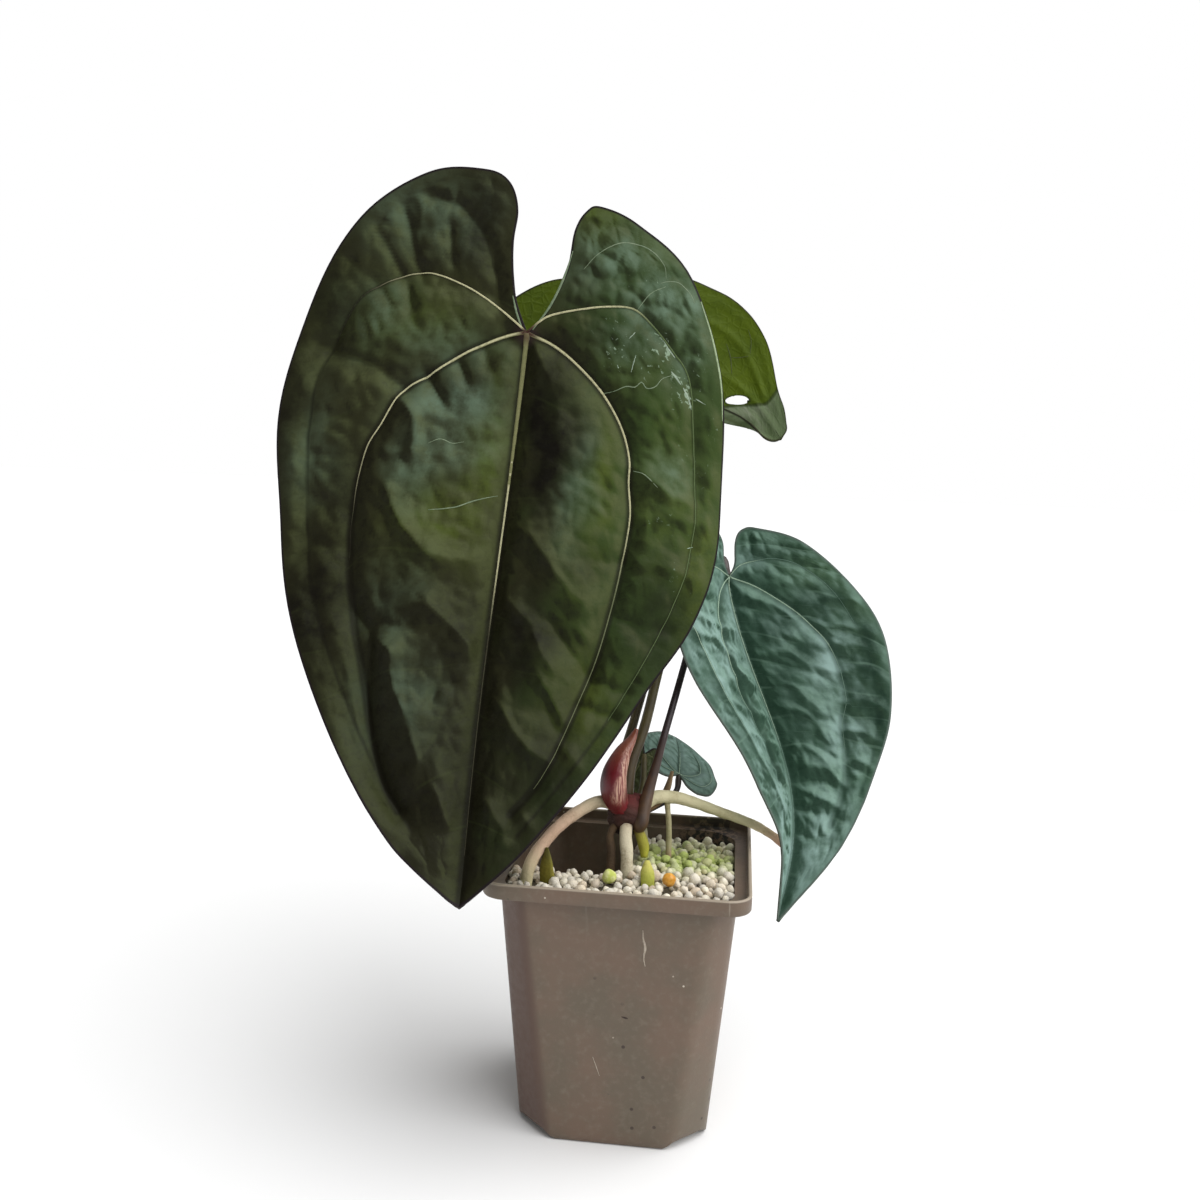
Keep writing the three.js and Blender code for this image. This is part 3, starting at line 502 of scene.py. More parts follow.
# The same veins on the front leaf, measured in millimetres across and along
FRONT_VEINS = (
    {
        "lateral": [(0, 0), (7, 2), (20, 9), (32, 18), (41, 25), (47, 37), (52, 49), (53, 75), (48, 102),
                    (42, 120), (38, 134), (34, 147), (29, 159), (23, 168)],
        "collective": [(0, 0), (4, -3), (13, -9), (24, -14), (38, -17), (52, -12), (62, -4), (70, 14),
                       (73, 38), (70, 68), (62, 98), (48, 128), (33, 154), (18, 174)],
    },
    {
        "lateral": [(0, 0), (10, 4), (19, 10), (29, 19), (37, 30), (41, 40), (42, 49), (44, 63), (42, 88),
                    (38, 112), (33, 128), (29, 140), (26, 148), (21, 157), (14, 166)],
        "collective": [(0, 0), (7, -6), (17, -9), (28, -11), (37, -11), (44, -6), (52, 2), (59, 11),
                       (63, 29), (66, 46), (67, 68), (62, 92), (54, 112), (44, 132), (31, 153), (17, 173)],
    },
)
# Creases (below zero) and crests (above zero) of the front leaf: height, reach, and places across and along
FRONT_FOLDS = (
    (-2.6, 5, [(-39, -17), (-43, -27), (-47, -39)]), (-1.8, 3, [(-46, -16), (-52, -25), (-56, -31)]),
    (-1.8, 2.5, [(-28, -21), (-30, -33)]), (-1.4, 4, [(-56, -13), (-66, -20)]),
    (-2.2, 5, [(-39, -43), (-29, -41), (-22, -37), (-17, -30), (-14, -22), (-11, -14)]),
    (-1.8, 4, [(-64, -1), (-69, 10)]), (-2.8, 6, [(-74, 11), (-68, 13), (-52, 17), (-41, 24)]),
    (-1.2, 5, [(-76, 36), (-70, 34), (-59, 36)]), (-1.2, 5, [(-71, 50), (-56, 49)]),
    (-1.2, 5, [(-68, 66), (-55, 68)]), (-1.2, 5, [(-65, 80), (-54, 82)]),
    (-1.5, 2.2, [(-52, -9), (-49, -5)]), (-1.5, 2.2, [(-43, -11), (-41, -4)]),
    (-2.0, 2.5, [(-33, 19), (-30, 23), (-27, 27)]), (-2.0, 2.5, [(-22, 14), (-19, 20)]),
    (-1.2, 3, [(-14, 8), (-12, 14)]), (2.2, 5, [(-41, 28), (-35, 35), (-34, 46)]),
    (2.2, 5, [(-41, 61), (-35, 71), (-26, 80)]), (-1.2, 4, [(-26, 66), (-17, 64), (-11, 61)]),
    (1.6, 4, [(-24, 82), (-11, 82)]), (2.6, 5, [(-22, 99), (-15, 104), (-6, 111)]),
    (1.6, 3, [(-38, 113), (-32, 116)]),
    (-3.0, 6, [(-47, 103), (-40, 111), (-39, 122), (-38, 133), (-35, 147), (-29, 161), (-23, 168)]),
    (2.4, 5, [(-32, 117), (-30, 126), (-25, 136)]), (-1.8, 2.5, [(-16, 131), (-14, 127), (-10, 124)]),
    (1.8, 4, [(-22, 142), (-18, 152)]), (1.6, 4, [(-12, 159), (-7, 170)]),
    (1.6, 6, [(3, 6), (9, 15), (14, 27), (17, 44)]), (2.8, 6, [(9, 70), (16, 78), (23, 87), (31, 93)]),
    (-1.2, 3, [(34, 78), (44, 77)]), (2.6, 5, [(5, 94), (13, 101), (18, 109), (24, 118)]),
    (-2.2, 4, [(20, 100), (27, 108), (34, 116)]), (2.6, 5, [(7, 130), (12, 137), (18, 144), (25, 148)]),
    (1.8, 4, [(18, 117), (23, 125), (29, 134)]), (-1.8, 4, [(22, 128), (26, 136)]),
    (1.6, 4, [(29, 142), (36, 149)]), (1.6, 4, [(4, 161), (10, 168), (13, 174)]),
    (1.4, 3, [(18, 166), (23, 172)]), (1.5, 4, [(42, 44), (49, 47), (57, 52), (64, 54)]),
    (1.3, 4, [(47, 62), (57, 60), (67, 60)]), (1.3, 4, [(47, 77), (58, 77), (67, 80)]),
    (-1.5, 5, [(44, 97), (55, 99), (65, 99)]), (-1.3, 4, [(37, 119), (50, 122)]),
    (-1.3, 4, [(33, 128), (46, 131)]),
)
# Thin pale veins on the front leaf: half their width, and places across and along
FINE_VEINS = (
    (0.45, [(2, -1), (6.6, -8), (9.8, -15), (12, -22), (13.6, -29)]),
    (0.4, [(-1.6, -1), (-4, -6), (-6, -12)]), (0.22, [(-26, 66), (-17, 64), (-11, 61), (-3, 58)]),
    (0.16, [(-29, 43), (-25, 41), (-21, 42), (-17, 41)]),
    (0.2, [(29, 19), (33, 18), (37, 16), (40, 16), (42, 14), (44, 16), (47, 15), (49, 12), (53, 10)]),
    (0.2, [(18, -23), (23, -29), (30, -33), (37, -33), (42, -31), (46, -27), (47, -23)]),
    (0.18, [(45, -21), (48, -22), (52, -22), (56, -19), (58, -16)]),
    (0.18, [(38, -11), (42, -17), (47, -20)]), (0.2, [(43, 45), (47, 46), (52, 50)]),
)
# A painted highlight along the lit rim of its right lobe
PAINTED_RIM_HIGHLIGHT = ((0.42, [(60.5, -17), (64.5, -8), (67.7, 1), (71, 12), (73.2, 23)]),)
# Pale scratches on the front leaf, in the same way
LEAF_SCUFFS = (
    (0.2, [(36, -0.5), (38, -3)]), (0.22, [(39, 5), (38, 11)]), (0.2, [(33, 9), (34, 11)]),
    (0.3, [(48, -2), (50, 1), (53, 4)]), (0.35, [(52, 9), (54, 11), (56, 13)]),
    (0.4, [(57, 14), (59, 17), (61, 21)]), (0.2, [(62, 17), (66, 18.5)]),
    (0.2, [(65.5, 69.4), (67.5, 68.6)]),
)
# The main veins of the right leaf, and its creases and crests
RIGHT_VEINS = (
    {
        "lateral": [(0, 0), (6, 6), (11, 15), (14, 27), (14, 45), (11, 62), (8, 78)],
        "collective": [(0, 0), (10, -4), (22, 0), (30, 12), (31, 19), (28, 31), (26, 43), (23, 55), (20, 67),
                       (15, 78), (10, 88), (6, 98)],
    },
    {
        "lateral": [(0, 0), (10, 5), (21, 14), (27, 22), (30, 28), (31, 37), (29, 50), (24, 60), (22, 70),
                    (19, 83), (13, 97)],
        "collective": [(0, 0), (4, -4), (10, -5.5), (17, -6), (26, -3), (36, 6), (42, 20), (43, 36),
                       (39, 54), (33, 70), (24, 88)],
    },
)
RIGHT_FOLDS = (
    (1.4, 2.5, [(3, 31), (14, 30), (20, 36)]), (1.4, 2.5, [(3, 42), (11, 43), (17, 52)]),
    (1.4, 2.5, [(3, 51), (11, 53), (16, 61)]), (1.3, 2.5, [(3, 65), (10, 68), (15, 75)]),
    (1.2, 2.2, [(4, 73), (13, 76), (19, 83)]), (1.1, 2, [(3, 83), (11, 87), (16, 91)]),
    (1.3, 2.5, [(6, 8), (15, 12), (20, 17)]), (1.2, 2.5, [(7, 24), (15, 23), (21, 27)]),
    (1.4, 2.5, [(24, 13), (34, 10), (44, 12)]), (1.4, 2.5, [(29, 21), (38, 22), (47, 25)]),
    (1.4, 2.5, [(31, 29), (41, 30), (47, 35)]), (1.4, 2.5, [(31, 40), (40, 39), (46, 44)]),
    (1.4, 2.5, [(28, 52), (36, 52), (42, 57)]), (1.3, 2.5, [(24, 63), (31, 64), (36, 70)]),
    (1.1, 2, [(19, 75), (27, 75), (31, 80)]), (1.4, 2.5, [(-28, 21), (-16, 26), (-12, 36), (-8, 42)]),
    (1.1, 2.2, [(-24, 15), (-14, 19), (-2, 21)]), (1.1, 2.2, [(-24, 40), (-10, 38), (-1, 42)]),
    (1.1, 2.2, [(-22, 48), (-13, 52), (-1, 55)]), (1, 2, [(-19, 60), (-11, 63), (-1, 66)]),
    (0.9, 2, [(-14, 73), (-6, 76), (-1, 79)]),
    (1.6, 2.2, [(-31, 19), (-28, 31), (-26, 43), (-23, 55), (-20, 67), (-15, 78), (-10, 88)]),
)
# Thin dark veins on the underside of the back leaf
BACK_VEINS = (
    (0.2, [(-12.1, 60.6), (-7.9, 64), (-2, 66.8)]), (0.16, [(-7.9, 64), (-9.9, 67.5), (-12.7, 71)]),
    (0.14, [(-21.1, 66.9), (-18.1, 69.4), (-12.7, 71)]),
)
LEAVES["leaf_front"].update(veins=FRONT_VEINS, folds=FRONT_FOLDS)
LEAVES["leaf_right"].update(veins=RIGHT_VEINS, folds=RIGHT_FOLDS)
print("leaves:", ", ".join(LEAVES))

# %% [markdown]
# ### From a flat blade to a bent one
#
# The frame of a leaf has three directions: down the midrib, across it, and out of its upper face. Each
# point of a flat half is first carried to the midrib's arc, then out along the folded and curled cross-
# section.

# %% Bending a blade
def leaf_frame(leaf):
    base = np.array(leaf["base"], float)
    chord = np.array(leaf["tip"], float) - base
    half = math.radians(leaf["bend"]) / 2
    length = np.linalg.norm(chord) * half / math.sin(half)
    down = chord / np.linalg.norm(chord)
    across = np.array(leaf["across"], float)
    across -= down * across.dot(down)
    across /= np.linalg.norm(across)
    face = np.cross(down, across)
    return {
        "base": base, "across": across, "length": length,
        "down": down * math.cos(half) - face * math.sin(half),
        "face": face * math.cos(half) + down * math.sin(half),
    }


def of_side(pair, side):
    """The left or the right one of two values."""
    return pair[1 if side == 1 else 0]


def arc(start, curl, length):
    """Where a strip ends, how high it rises and how it is turned, when it curls steadily."""
    safe = np.where(np.abs(curl) < 1e-6, 1e-6, curl)
    last = start + safe * length
    reach, rise = (np.sin(last) - np.sin(start)) / safe, (np.cos(start) - np.cos(last)) / safe
    return reach, rise, start + curl * length


def section(leaf, side, u, roll):
    """How far out and up a place on one half lies, and how it is turned there."""
    fold = math.radians(of_side(leaf["fold"], side))
    curl = math.radians(of_side(leaf["curl"], side)) / 100
    if roll is None:
        return arc(fold, curl, u)
    open_part = arc(fold, curl, np.minimum(u, roll["start"]))
    past = np.maximum(u - roll["start"], 0)
    bent = np.minimum(past, roll["length"])
    turned = arc(open_part[2], -roll["turn"] / np.maximum(roll["length"], 1e-3), bent)
    rest = arc(turned[2], 0.0, past - bent)
    return open_part[0] + turned[0] + rest[0], open_part[1] + turned[1] + rest[1], rest[2]


def roll_of(leaf, side, share, edge):
    """Where an edge starts to roll over, by how much, and how much of the blade the turn takes."""
    roll = leaf.get("roll")
    if not roll or roll["side"] != side:
        return None
    turn = math.radians(roll["turn"]) * soft_step(share, 0.42, 0.68) * soft_step(share, 1, 0.8)
    radius = np.maximum(roll["radius"] * edge, 1.2)
    return {"start": roll["from"] * edge, "turn": turn, "length": turn * radius}


def bend_blade(leaf, frame_of_leaf, half, side, u, w, roll, lift):
    """The place in space of each point of a flat half, lifted off the bare blade."""
    turn = math.radians(leaf["bend"]) / frame_of_leaf["length"]
    down, face, across = (frame_of_leaf[key] for key in ("down", "face", "across"))
    bent = turn * w[:, None]
    spine = frame_of_leaf["base"] + down * np.sin(bent) / turn + face * (1 - np.cos(bent)) / turn
    outward = face * np.cos(bent) - down * np.sin(bent)
    share = np.clip(w / frame_of_leaf["length"], 0, 1)
    shift = leaf["sway"] * np.sin(np.pi * share**1.5)
    reach, rise, end = section(leaf, side, u, roll)
    wave = leaf["wave"] * (u / half["width"]) ** 2 * np.sin(WAVES * np.pi * w / half["length"] + side)
    if roll is not None:
        wave = np.where(roll["turn"] > ROLLED, 0, wave)
    tilt = end * np.minimum(1, u / MIDRIB_EASE)
    sideways = shift + side * (reach - np.sin(tilt) * (wave + lift))
    return spine + across * sideways[:, None] + outward * (rise + np.cos(tilt) * (wave + lift))[:, None]


# %% [markdown]
# ### Relief
#
# The main veins lie in creases. Between them the blade stands up like a quilt: a broad pillow from vein to
# vein, puckers between the side veins, and wrinkles of two sizes. Noise shifts the puckers a little,
# because no two are alike. Folds that mark the two large leaves as these very ones can't come from a rule,
# so their places are measured and each adds a crease or a crest. Smooth patches keep free of wrinkles.

# %% Relief of a blade
def half_of(leaf, side):
    """The size, the edges and the veins of one flat half."""
    apex, edge = of_side(leaf["edges"], side)
    fine = curve_through(edge) * EDGE_IN
    half = {
        "width": max(u for u, _ in edge), "length": edge[-1][1],
        "sinus": fine[: apex * 8 + 1][::-1],
        "margin": fine[apex * 8:],
    }
    measured = leaf.get("veins")
    veins = of_side(measured, side) if measured else VEINS
    paths = {vein: curve_through(places, 6) for vein, places in veins.items()}
    if not measured:
        paths = {vein: flat_place(half, *path.T)[0] for vein, path in paths.items()}
    half["veins"] = paths
    return half


def flat_place(half, part, share):
    """Where a share of the way across and along a flat half lies, and how wide the half is there."""
    inner = np.where(share[:, None] < SHOULDER, spread(half["sinus"], np.clip(share / SHOULDER, 0, 1)),
                     np.stack([share * 0, half["length"] * (share - SHOULDER) / (1 - SHOULDER)], -1))
    outer = spread(half["margin"], share)
    return inner + (outer - inner) * part[:, None], outer[:, 0]


def wrinkles(u, w, seed, size):
    """Soft cells with creases between them, from 0 in a crease to about 1 on top."""
    tops = np.empty(len(u))
    for i, (x, y) in enumerate(zip(u / size, w / size)):
        distances = noise.voronoi(Vector((x, y, seed)))[0]
        tops[i] = distances[1] - distances[0]
    return np.clip(tops * 1.6, 0, 1)


def drift(u, w, seed, size):
    """Slow noise from about -1 to 1."""
    return np.array([noise.noise(Vector((x, y, seed))) for x, y in zip(u / size, w / size)])


def folds(leaf, side, u, w):
    """The height that measured creases and crests add; nothing at the midrib, where the halves meet."""
    total = np.zeros(len(u))
    for height, reach, places in leaf.get("folds", ()):
        if places[0][0] * side > 0:
            gap = np.abs(to_path(curve_through(places, 5), side * u, w)[0])
            total += height * np.exp(-(np.sqrt(gap**2 + FOLD_ROUND**2) - FOLD_ROUND) / reach)
    return total * (1 - np.exp(-((u / FOLDS_START) ** 2)))


def puckers(leaf, half, u, w, share):
    """Swellings between the side veins, and each place's distance to the nearest of those veins."""
    width = half["width"]
    spacing = half["length"] / (leaf["side_veins"] * (1 - SHOULDER))
    outward = u - width / 2
    slope = np.where(outward < 0, SIDE_SLOPE["inner"], SIDE_SLOPE["outer"]) * soft_step(share, 0.2, 0.45)
    shift = 0.45 * drift(u, w, leaf["seed"], DRIFT_SIZE["shift"] * width)
    phase = share * leaf["side_veins"] - outward * slope / spacing + shift
    strength = 0.8 + 1.5 * drift(u, w, leaf["seed"] + 7, DRIFT_SIZE["strength"] * width)
    swelling = np.clip(strength, 0.1, 1.8) * (np.abs(np.sin(np.pi * phase)) ** 0.8 - 0.45)
    return swelling, (phase - np.round(phase)) * spacing


def around_veins(half, strong, weak):
    """The creases in which the veins lie, and the pillow that rises from one to the next."""
    width = half["width"]
    spread_of_groove = width * GROOVE_SPREAD
    weak_groove = WEAK_GROOVE * np.exp(-((weak / spread_of_groove) ** 2))
    groove = np.maximum(np.exp(-((strong / spread_of_groove) ** 2)), weak_groove)
    beside_weak = 1 - 0.3 * np.exp(-weak / (PILLOW_RISE["weak"] * width))
    return groove, (1 - np.exp(-strong / (PILLOW_RISE["strong"] * width))) * beside_weak


def tear_marks(leaf, across, along):
    """How far each place lies past the fold of the turned-over part, and from the torn hole."""
    if not leaf.get("flap"):
        return np.full(len(across), -99.0), np.full(len(across), 99.0)
    past_fold = -to_path(curve_through(leaf["flap"], 4), across, along)[0]
    return past_fold, (hole_radius(leaf["tear"], across, along) - 1) * leaf["tear"]["half"][1]


def relief(leaf, half, side, u, w, share, roll):
    """How far the upper face stands over the bare blade, and what the finish has to know of each place."""
    width = half["width"]
    across = side * u
    offsets = {vein: np.abs(to_path(path, u, w)[0]) for vein, path in half["veins"].items()}
    strong = np.minimum(u, offsets["lateral"])
    weak = offsets["collective"]
    groove, pillow = around_veins(half, strong, weak)
    swelling, rib = puckers(leaf, half, u, w, share)
    small = 0.6 * wrinkles(u, w, leaf["seed"], WRINKLE_SIZE["large"] * width + 1)
    small = small + 0.4 * wrinkles(u, w, leaf["seed"] + 1, WRINKLE_SIZE["small"] * width + 1)
    free = (1 - groove) * (1 if roll is None else np.where(roll["turn"] > ROLLED, 0.3, 1))
    free = free * (1 - np.clip(patches(leaf, "smooth", across, w), 0, 0.9))
    height = leaf["pucker"] * swelling * free - leaf["groove"] * groove + leaf["pillow"] * (pillow - 0.6)
    height = height + leaf["quilt"] * free * (small - 0.5) + folds(leaf, side, u, w)
    to_edge = np.minimum(*(np.abs(to_path(half[edge], u, w)[0]) for edge in ("margin", "sinus")))
    lift = height * np.clip(to_edge / (width * EDGE_FADE), 0, 1) - SEAT
    moods = [patches(leaf, kind, across, w) for kind in ("shade", "painted_sheen_patches", "olive")]
    facts = {
        "blade": np.stack([across, w, to_edge], -1),
        "ribs": np.stack([rib, np.minimum(strong, weak + 1), leaning(leaf, lift, side, u, w)], -1),
        "mood": np.stack(moods, -1),
        "marks": np.stack([patches(leaf, "wear", across, w), *tear_marks(leaf, across, w)], -1),
    }
    return lift, facts


def leaning(leaf, lift, side, u, w):
    """How steeply each place leans to the upper right, towards the light: about -1 to 1."""
    columns, rows = leaf["cells"]
    (lift_down, lift_out), (u_down, u_out), (w_down, w_out) = (
        np.gradient(values.reshape(rows + 1, columns + 1)) for values in (lift, u, w))
    area = u_out * w_down - u_down * w_out
    area = np.where(np.abs(area) < 1e-6, 1e-6, area)
    slope_out = (lift_out * w_down - lift_down * w_out) / area
    slope_down = (u_out * lift_down - u_down * lift_out) / area
    lean = slope_down * LIGHT_LEAN[1] - side * slope_out * LIGHT_LEAN[0]
    return np.clip(lean * LEAN_GAIN, -1, 1).ravel()


def patches(leaf, kind, across, along):
    """How strongly one kind of patch shows at each place: soft spots whose edges drift."""
    total = np.zeros(len(across))
    x, y = (place + PATCH_DRIFT * drift(across, along, leaf["seed"] + seed, PATCH_DRIFT_SIZE)
            for place, seed in ((across, 20), (along, 30)))
    for middle_x, middle_y, half_x, half_y, strength in leaf.get(kind, ()):
        far = ((x - middle_x) / half_x) ** 2 + ((y - middle_y) / half_y) ** 2
        total = np.maximum(total, strength * np.exp(-far))
    return total


# %% [markdown]
# ### Building the blades
#
# Each half is a grid. The two are joined and merged along the midrib, and a Solidify modifier gives the
# blade its real thickness, with a second material for the underside. The back leaf's torn hole could be cut
# out with a Boolean modifier, but that leaves ragged faces. So its faces are deleted first, inside a
# slanted oval, and the points round them are moved out onto the oval.

# %% Blades
SURFACES = {}


def half_blade(name, leaf, side):
    """One half of a blade, bent into place, with what its finish and its veins need to know."""
    columns, rows = leaf["cells"]
    piece, part, share = grid(f"{name}_{side}", columns, rows)
    half = half_of(leaf, side)
    flat, edge = flat_place(half, part, share)
    u, w = flat.T
    tear = leaf.get("tear")
    if tear and tear["side"] == side:
        u, w, inside = open_hole(piece, tear, u, w)
    roll = roll_of(leaf, side, share, edge)
    lift, facts = relief(leaf, half, side, u, w, share, roll)
    SURFACES[name, side] = {"places": np.stack([u, w], -1), "lift": lift, "share": share}
    move_points(piece, bend_blade(leaf, leaf_frame(leaf), half, side, u, w, roll, lift))
    for key_word, values in facts.items():
        store(piece, key_word, values)
    if side == 1:
        edit(piece, bpy.ops.mesh.flip_normals)
    if tear and tear["side"] == side:
        cut_hole(piece, inside)
    return piece


def hole_radius(tear, u, w):
    """How far each place lies from the middle of a slanted oval, where 1 is its edge."""
    slant = math.radians(tear["slant"])
    out, down = u - tear["middle"][0], w - tear["middle"][1]
    long_way = (down * math.cos(slant) + out * math.sin(slant)) / tear["half"][0]
    short_way = (out * math.cos(slant) - down * math.sin(slant)) / tear["half"][1]
    return np.hypot(long_way, short_way)


def open_hole(piece, tear, u, w):
    """Finds the faces inside the oval, and moves the points at their edge out onto it."""
    radius = hole_radius(tear, u, w)
    inside = [all(radius[i] < 1 for i in polygon.vertices) for polygon in piece.data.polygons]
    kept = {i for polygon, gone in zip(piece.data.polygons, inside) if not gone for i in polygon.vertices}
    u, w = u.copy(), w.copy()
    for i in kept:
        if radius[i] < 1:
            u[i] = tear["middle"][0] + (u[i] - tear["middle"][0]) / radius[i]
            w[i] = tear["middle"][1] + (w[i] - tear["middle"][1]) / radius[i]
    return u, w, inside


def cut_hole(piece, inside):
    """Takes out the faces inside the hole."""
    edit(piece, lambda: bpy.ops.mesh.select_mode(type="FACE"),
         lambda: bpy.ops.mesh.select_all(action="DESELECT"))
    piece.data.polygons.foreach_set("select", inside)
    bpy.ops.object.mode_set(mode="EDIT")
    bpy.ops.mesh.delete(type="FACE")
    bpy.ops.mesh.select_mode(type="VERT")
    bpy.ops.object.mode_set(mode="OBJECT")


def build_blade(name, leaf, upper, under):
    """The whole blade at its real thickness, with one finish above and one below."""
    piece = join([half_blade(name, leaf, side) for side in (-1, 1)], name + "_blade")
    edit(piece, weld())
    piece.data.materials.append(upper)
    piece.data.materials.append(under)
    thickness = piece.modifiers.new("thickness", "SOLIDIFY")
    thickness.thickness = BLADE * MM
    thickness.offset = -1
    thickness.material_offset = 1
    thickness.material_offset_rim = 1
    bpy.ops.object.modifier_apply(modifier="thickness")
    smooth_shade(piece)
    return piece


# %% [markdown]
# ### Veins
#
# The midrib and the main veins are raised cords on the real blade: fine on the upper face and thick below.
# Each is a narrow grid rolled into a tube along the vein's path, partly sunk in the blade, and thinner
# towards its end. On the upper face their cream fades into the blade's own tone, some sooner than others.
# Finer cords make the thin veins, the scratches and a painted highlight along the rim of one lobe, because a
# line as thin as that would blur in a material.

# %% Tubes and veins
# A direction in which no path here sets out
ASKEW = (0.3, 0.5, 0.81)
NEAREST_POINTS = 4
# How much of a cord's radius lies in the blade
CORD_SINK = 0.3
CORD_SIDES = 8
# Half the width of a main vein's cord where it starts and where it ends: above and under the blade
VEIN_HALF = {"midrib": (0.58, 0.1), "lateral": (0.52, 0.1), "collective": (0.42, 0.1)}
UNDER_HALF = {"midrib": (1.15, 0.12), "lateral": (0.8, 0.12), "collective": (0.5, 0.1)}
# How much of its path a cord follows: left and right half
WHOLE = {"midrib": (1, 1), "lateral": (1, 1), "collective": (1, 1)}
UNDER_REACH = {"midrib": (0.72, 0.72), "lateral": (0.62, 0.62), "collective": (0.6, 0.6)}
# Where the cream starts to fade, where that ends, how far it goes and how green it is: left and right half
FADES = {
    "midrib": ((0.44, 0.6, 0.95, 0), (0.44, 0.6, 0.95, 0)),
    "lateral": ((0.5, 0.9, 1, 0), (0.4, 0.62, 0.85, 0.6)),
    "collective": ((0.4, 0.8, 1, 0), (0.14, 0.26, 1, 1)),
}
NO_FADE = (0, 1, 0, 0)


def transport(path):
    """Two directions square to a path at each of its points, turned as little as the path allows."""
    ahead = np.gradient(path, axis=0)
    ahead /= np.linalg.norm(ahead, axis=1)[:, None]
    first = np.cross(ahead[0], ASKEW)
    normals = [first / np.linalg.norm(first)]
    for direction in ahead[1:]:
        turned = normals[-1] - direction * direction.dot(normals[-1])
        normals.append(turned / np.linalg.norm(turned))
    normals = np.array(normals)
    return ahead, normals, np.cross(ahead, normals)


def tube(name, path, radii, sides=12, flat=1.0, shape=None, normals=None):
    """A closed tube along a path of points, with a radius at each, which a shape function may change."""
    piece, part, share = grid(name, sides, len(path) - 1)
    ahead, first, second = transport(path)
    if normals is not None:
        first = normals - ahead * np.sum(normals * ahead, axis=1)[:, None]
        first /= np.linalg.norm(first, axis=1)[:, None]
        second = np.cross(ahead, first)
    ring = np.rint(share * (len(path) - 1)).astype(int)
    angle = 2 * np.pi * (part % 1.0)
    radius = np.asarray(radii)[ring]
    if shape is not None:
        radius = radius * shape(angle, share, path[ring])
    across = first[ring] * (radius * np.cos(angle))[:, None]
    upward = second[ring] * (radius * flat * np.sin(angle))[:, None]
    move_points(piece, path[ring] + across + upward)
    store(piece, "along", share)
    store(piece, "around", np.stack([np.cos(angle), np.sin(angle), share * 0], -1))
    edit(piece, weld(), lambda: bpy.ops.mesh.fill_holes(sides=0), bpy.ops.mesh.normals_make_consistent)
    smooth_shade(piece)
    return piece


def on_blade(name, side, places, rise):
    """Places across and along one half of a blade as points in space, a little over its upper face."""
    leaf = LEAVES[name]
    surface = SURFACES[name, side]
    lift, share = [], []
    for place in places:
        gap = np.hypot(*(surface["places"] - place).T)
        near = np.argpartition(gap, NEAREST_POINTS)[:NEAREST_POINTS]
        weight = 1 / (gap[near] + 0.05)
        lift.append(np.average(surface["lift"][near], weights=weight))
        share.append(np.average(surface["share"][near], weights=weight))
    share = np.array(share)
    half = half_of(leaf, side)
    roll = roll_of(leaf, side, share, flat_place(half, share * 0, share)[1])
    return bend_blade(leaf, leaf_frame(leaf), half, side, *places.T, roll, np.array(lift) + rise)


def cord(name, side, path, half_widths, finish, flat=1.0, step=1.4, under=False):
    """A raised cord along a path on one half of a blade, on its upper face or under it."""
    rings = max(8, int(lengths_along(path)[-1] / step))
    shares = np.linspace(0, 1, rings)
    places = spread(path, shares)
    radii = np.interp(shares, np.linspace(0, 1, len(half_widths)), half_widths)
    sink = CORD_SINK * radii * flat
    place = on_blade(name, side, places, sink - BLADE if under else -sink)
    above = on_blade(name, side, places, 1 + 0 * radii)
    sideways = np.cross(np.gradient(place, axis=0), above - place)
    piece = tube(f"{name}_cord", place, radii, CORD_SIDES, flat, normals=sideways)
    piece.data.materials.append(finish)
    return piece


def fade_cord(piece, start, end, amount, green):
    """Stores how far a cord's cream has given way to the tone of the blade, and how green that tone is."""
    along = np.empty(len(piece.data.vertices))
    piece.data.attributes["along"].data.foreach_get("value", along)
    faded = amount * soft_step(along, start, end)
    store(piece, "faded", np.stack([faded, np.full(len(along), green), 0 * along], -1))


def main_veins(half, side):
    """The paths of a half's veins. The midrib belongs to the right half."""
    paths = dict(half["veins"])
    if side == 1:
        paths["midrib"] = np.array([[0, 0], [0, half["length"] - 1]])
    return paths


def vein_cords(name, leaf, finish, under=False):
    """All main veins of a blade as cords: fine ones on the upper face, and stout ones under it."""
    size = leaf.get("cord_size", min(1.0, leaf["edges"][1][1][-1][1] / 197 + 0.15))
    widths = UNDER_HALF if under else VEIN_HALF
    reaches = UNDER_REACH if under else leaf.get("reach", WHOLE)
    cords = []
    for side in (-1, 1):
        for vein, path in main_veins(half_of(leaf, side), side).items():
            path = spread(path, np.linspace(0, of_side(reaches[vein], side), len(path)))
            piece = cord(name, side, path, [value * size for value in widths[vein]], finish, under=under)
            fade_cord(piece, *(NO_FADE if under else of_side(FADES[vein], side)))
            cords.append(piece)
    return cords


def small_cords(name, table, finish, flat, under=False):
    """Thin veins or scratches: cords that taper at both ends."""
    pieces = []
    for half_width, places in table:
        side = 1 if places[0][0] > 0 else -1
        path = curve_through(np.array(places) * (side, 1), 5)
        widths = (half_width * 0.5, half_width, half_width, half_width * 0.4)
        pieces.append(cord(name, side, path, widths, finish, flat, 0.9, under))
    return pieces


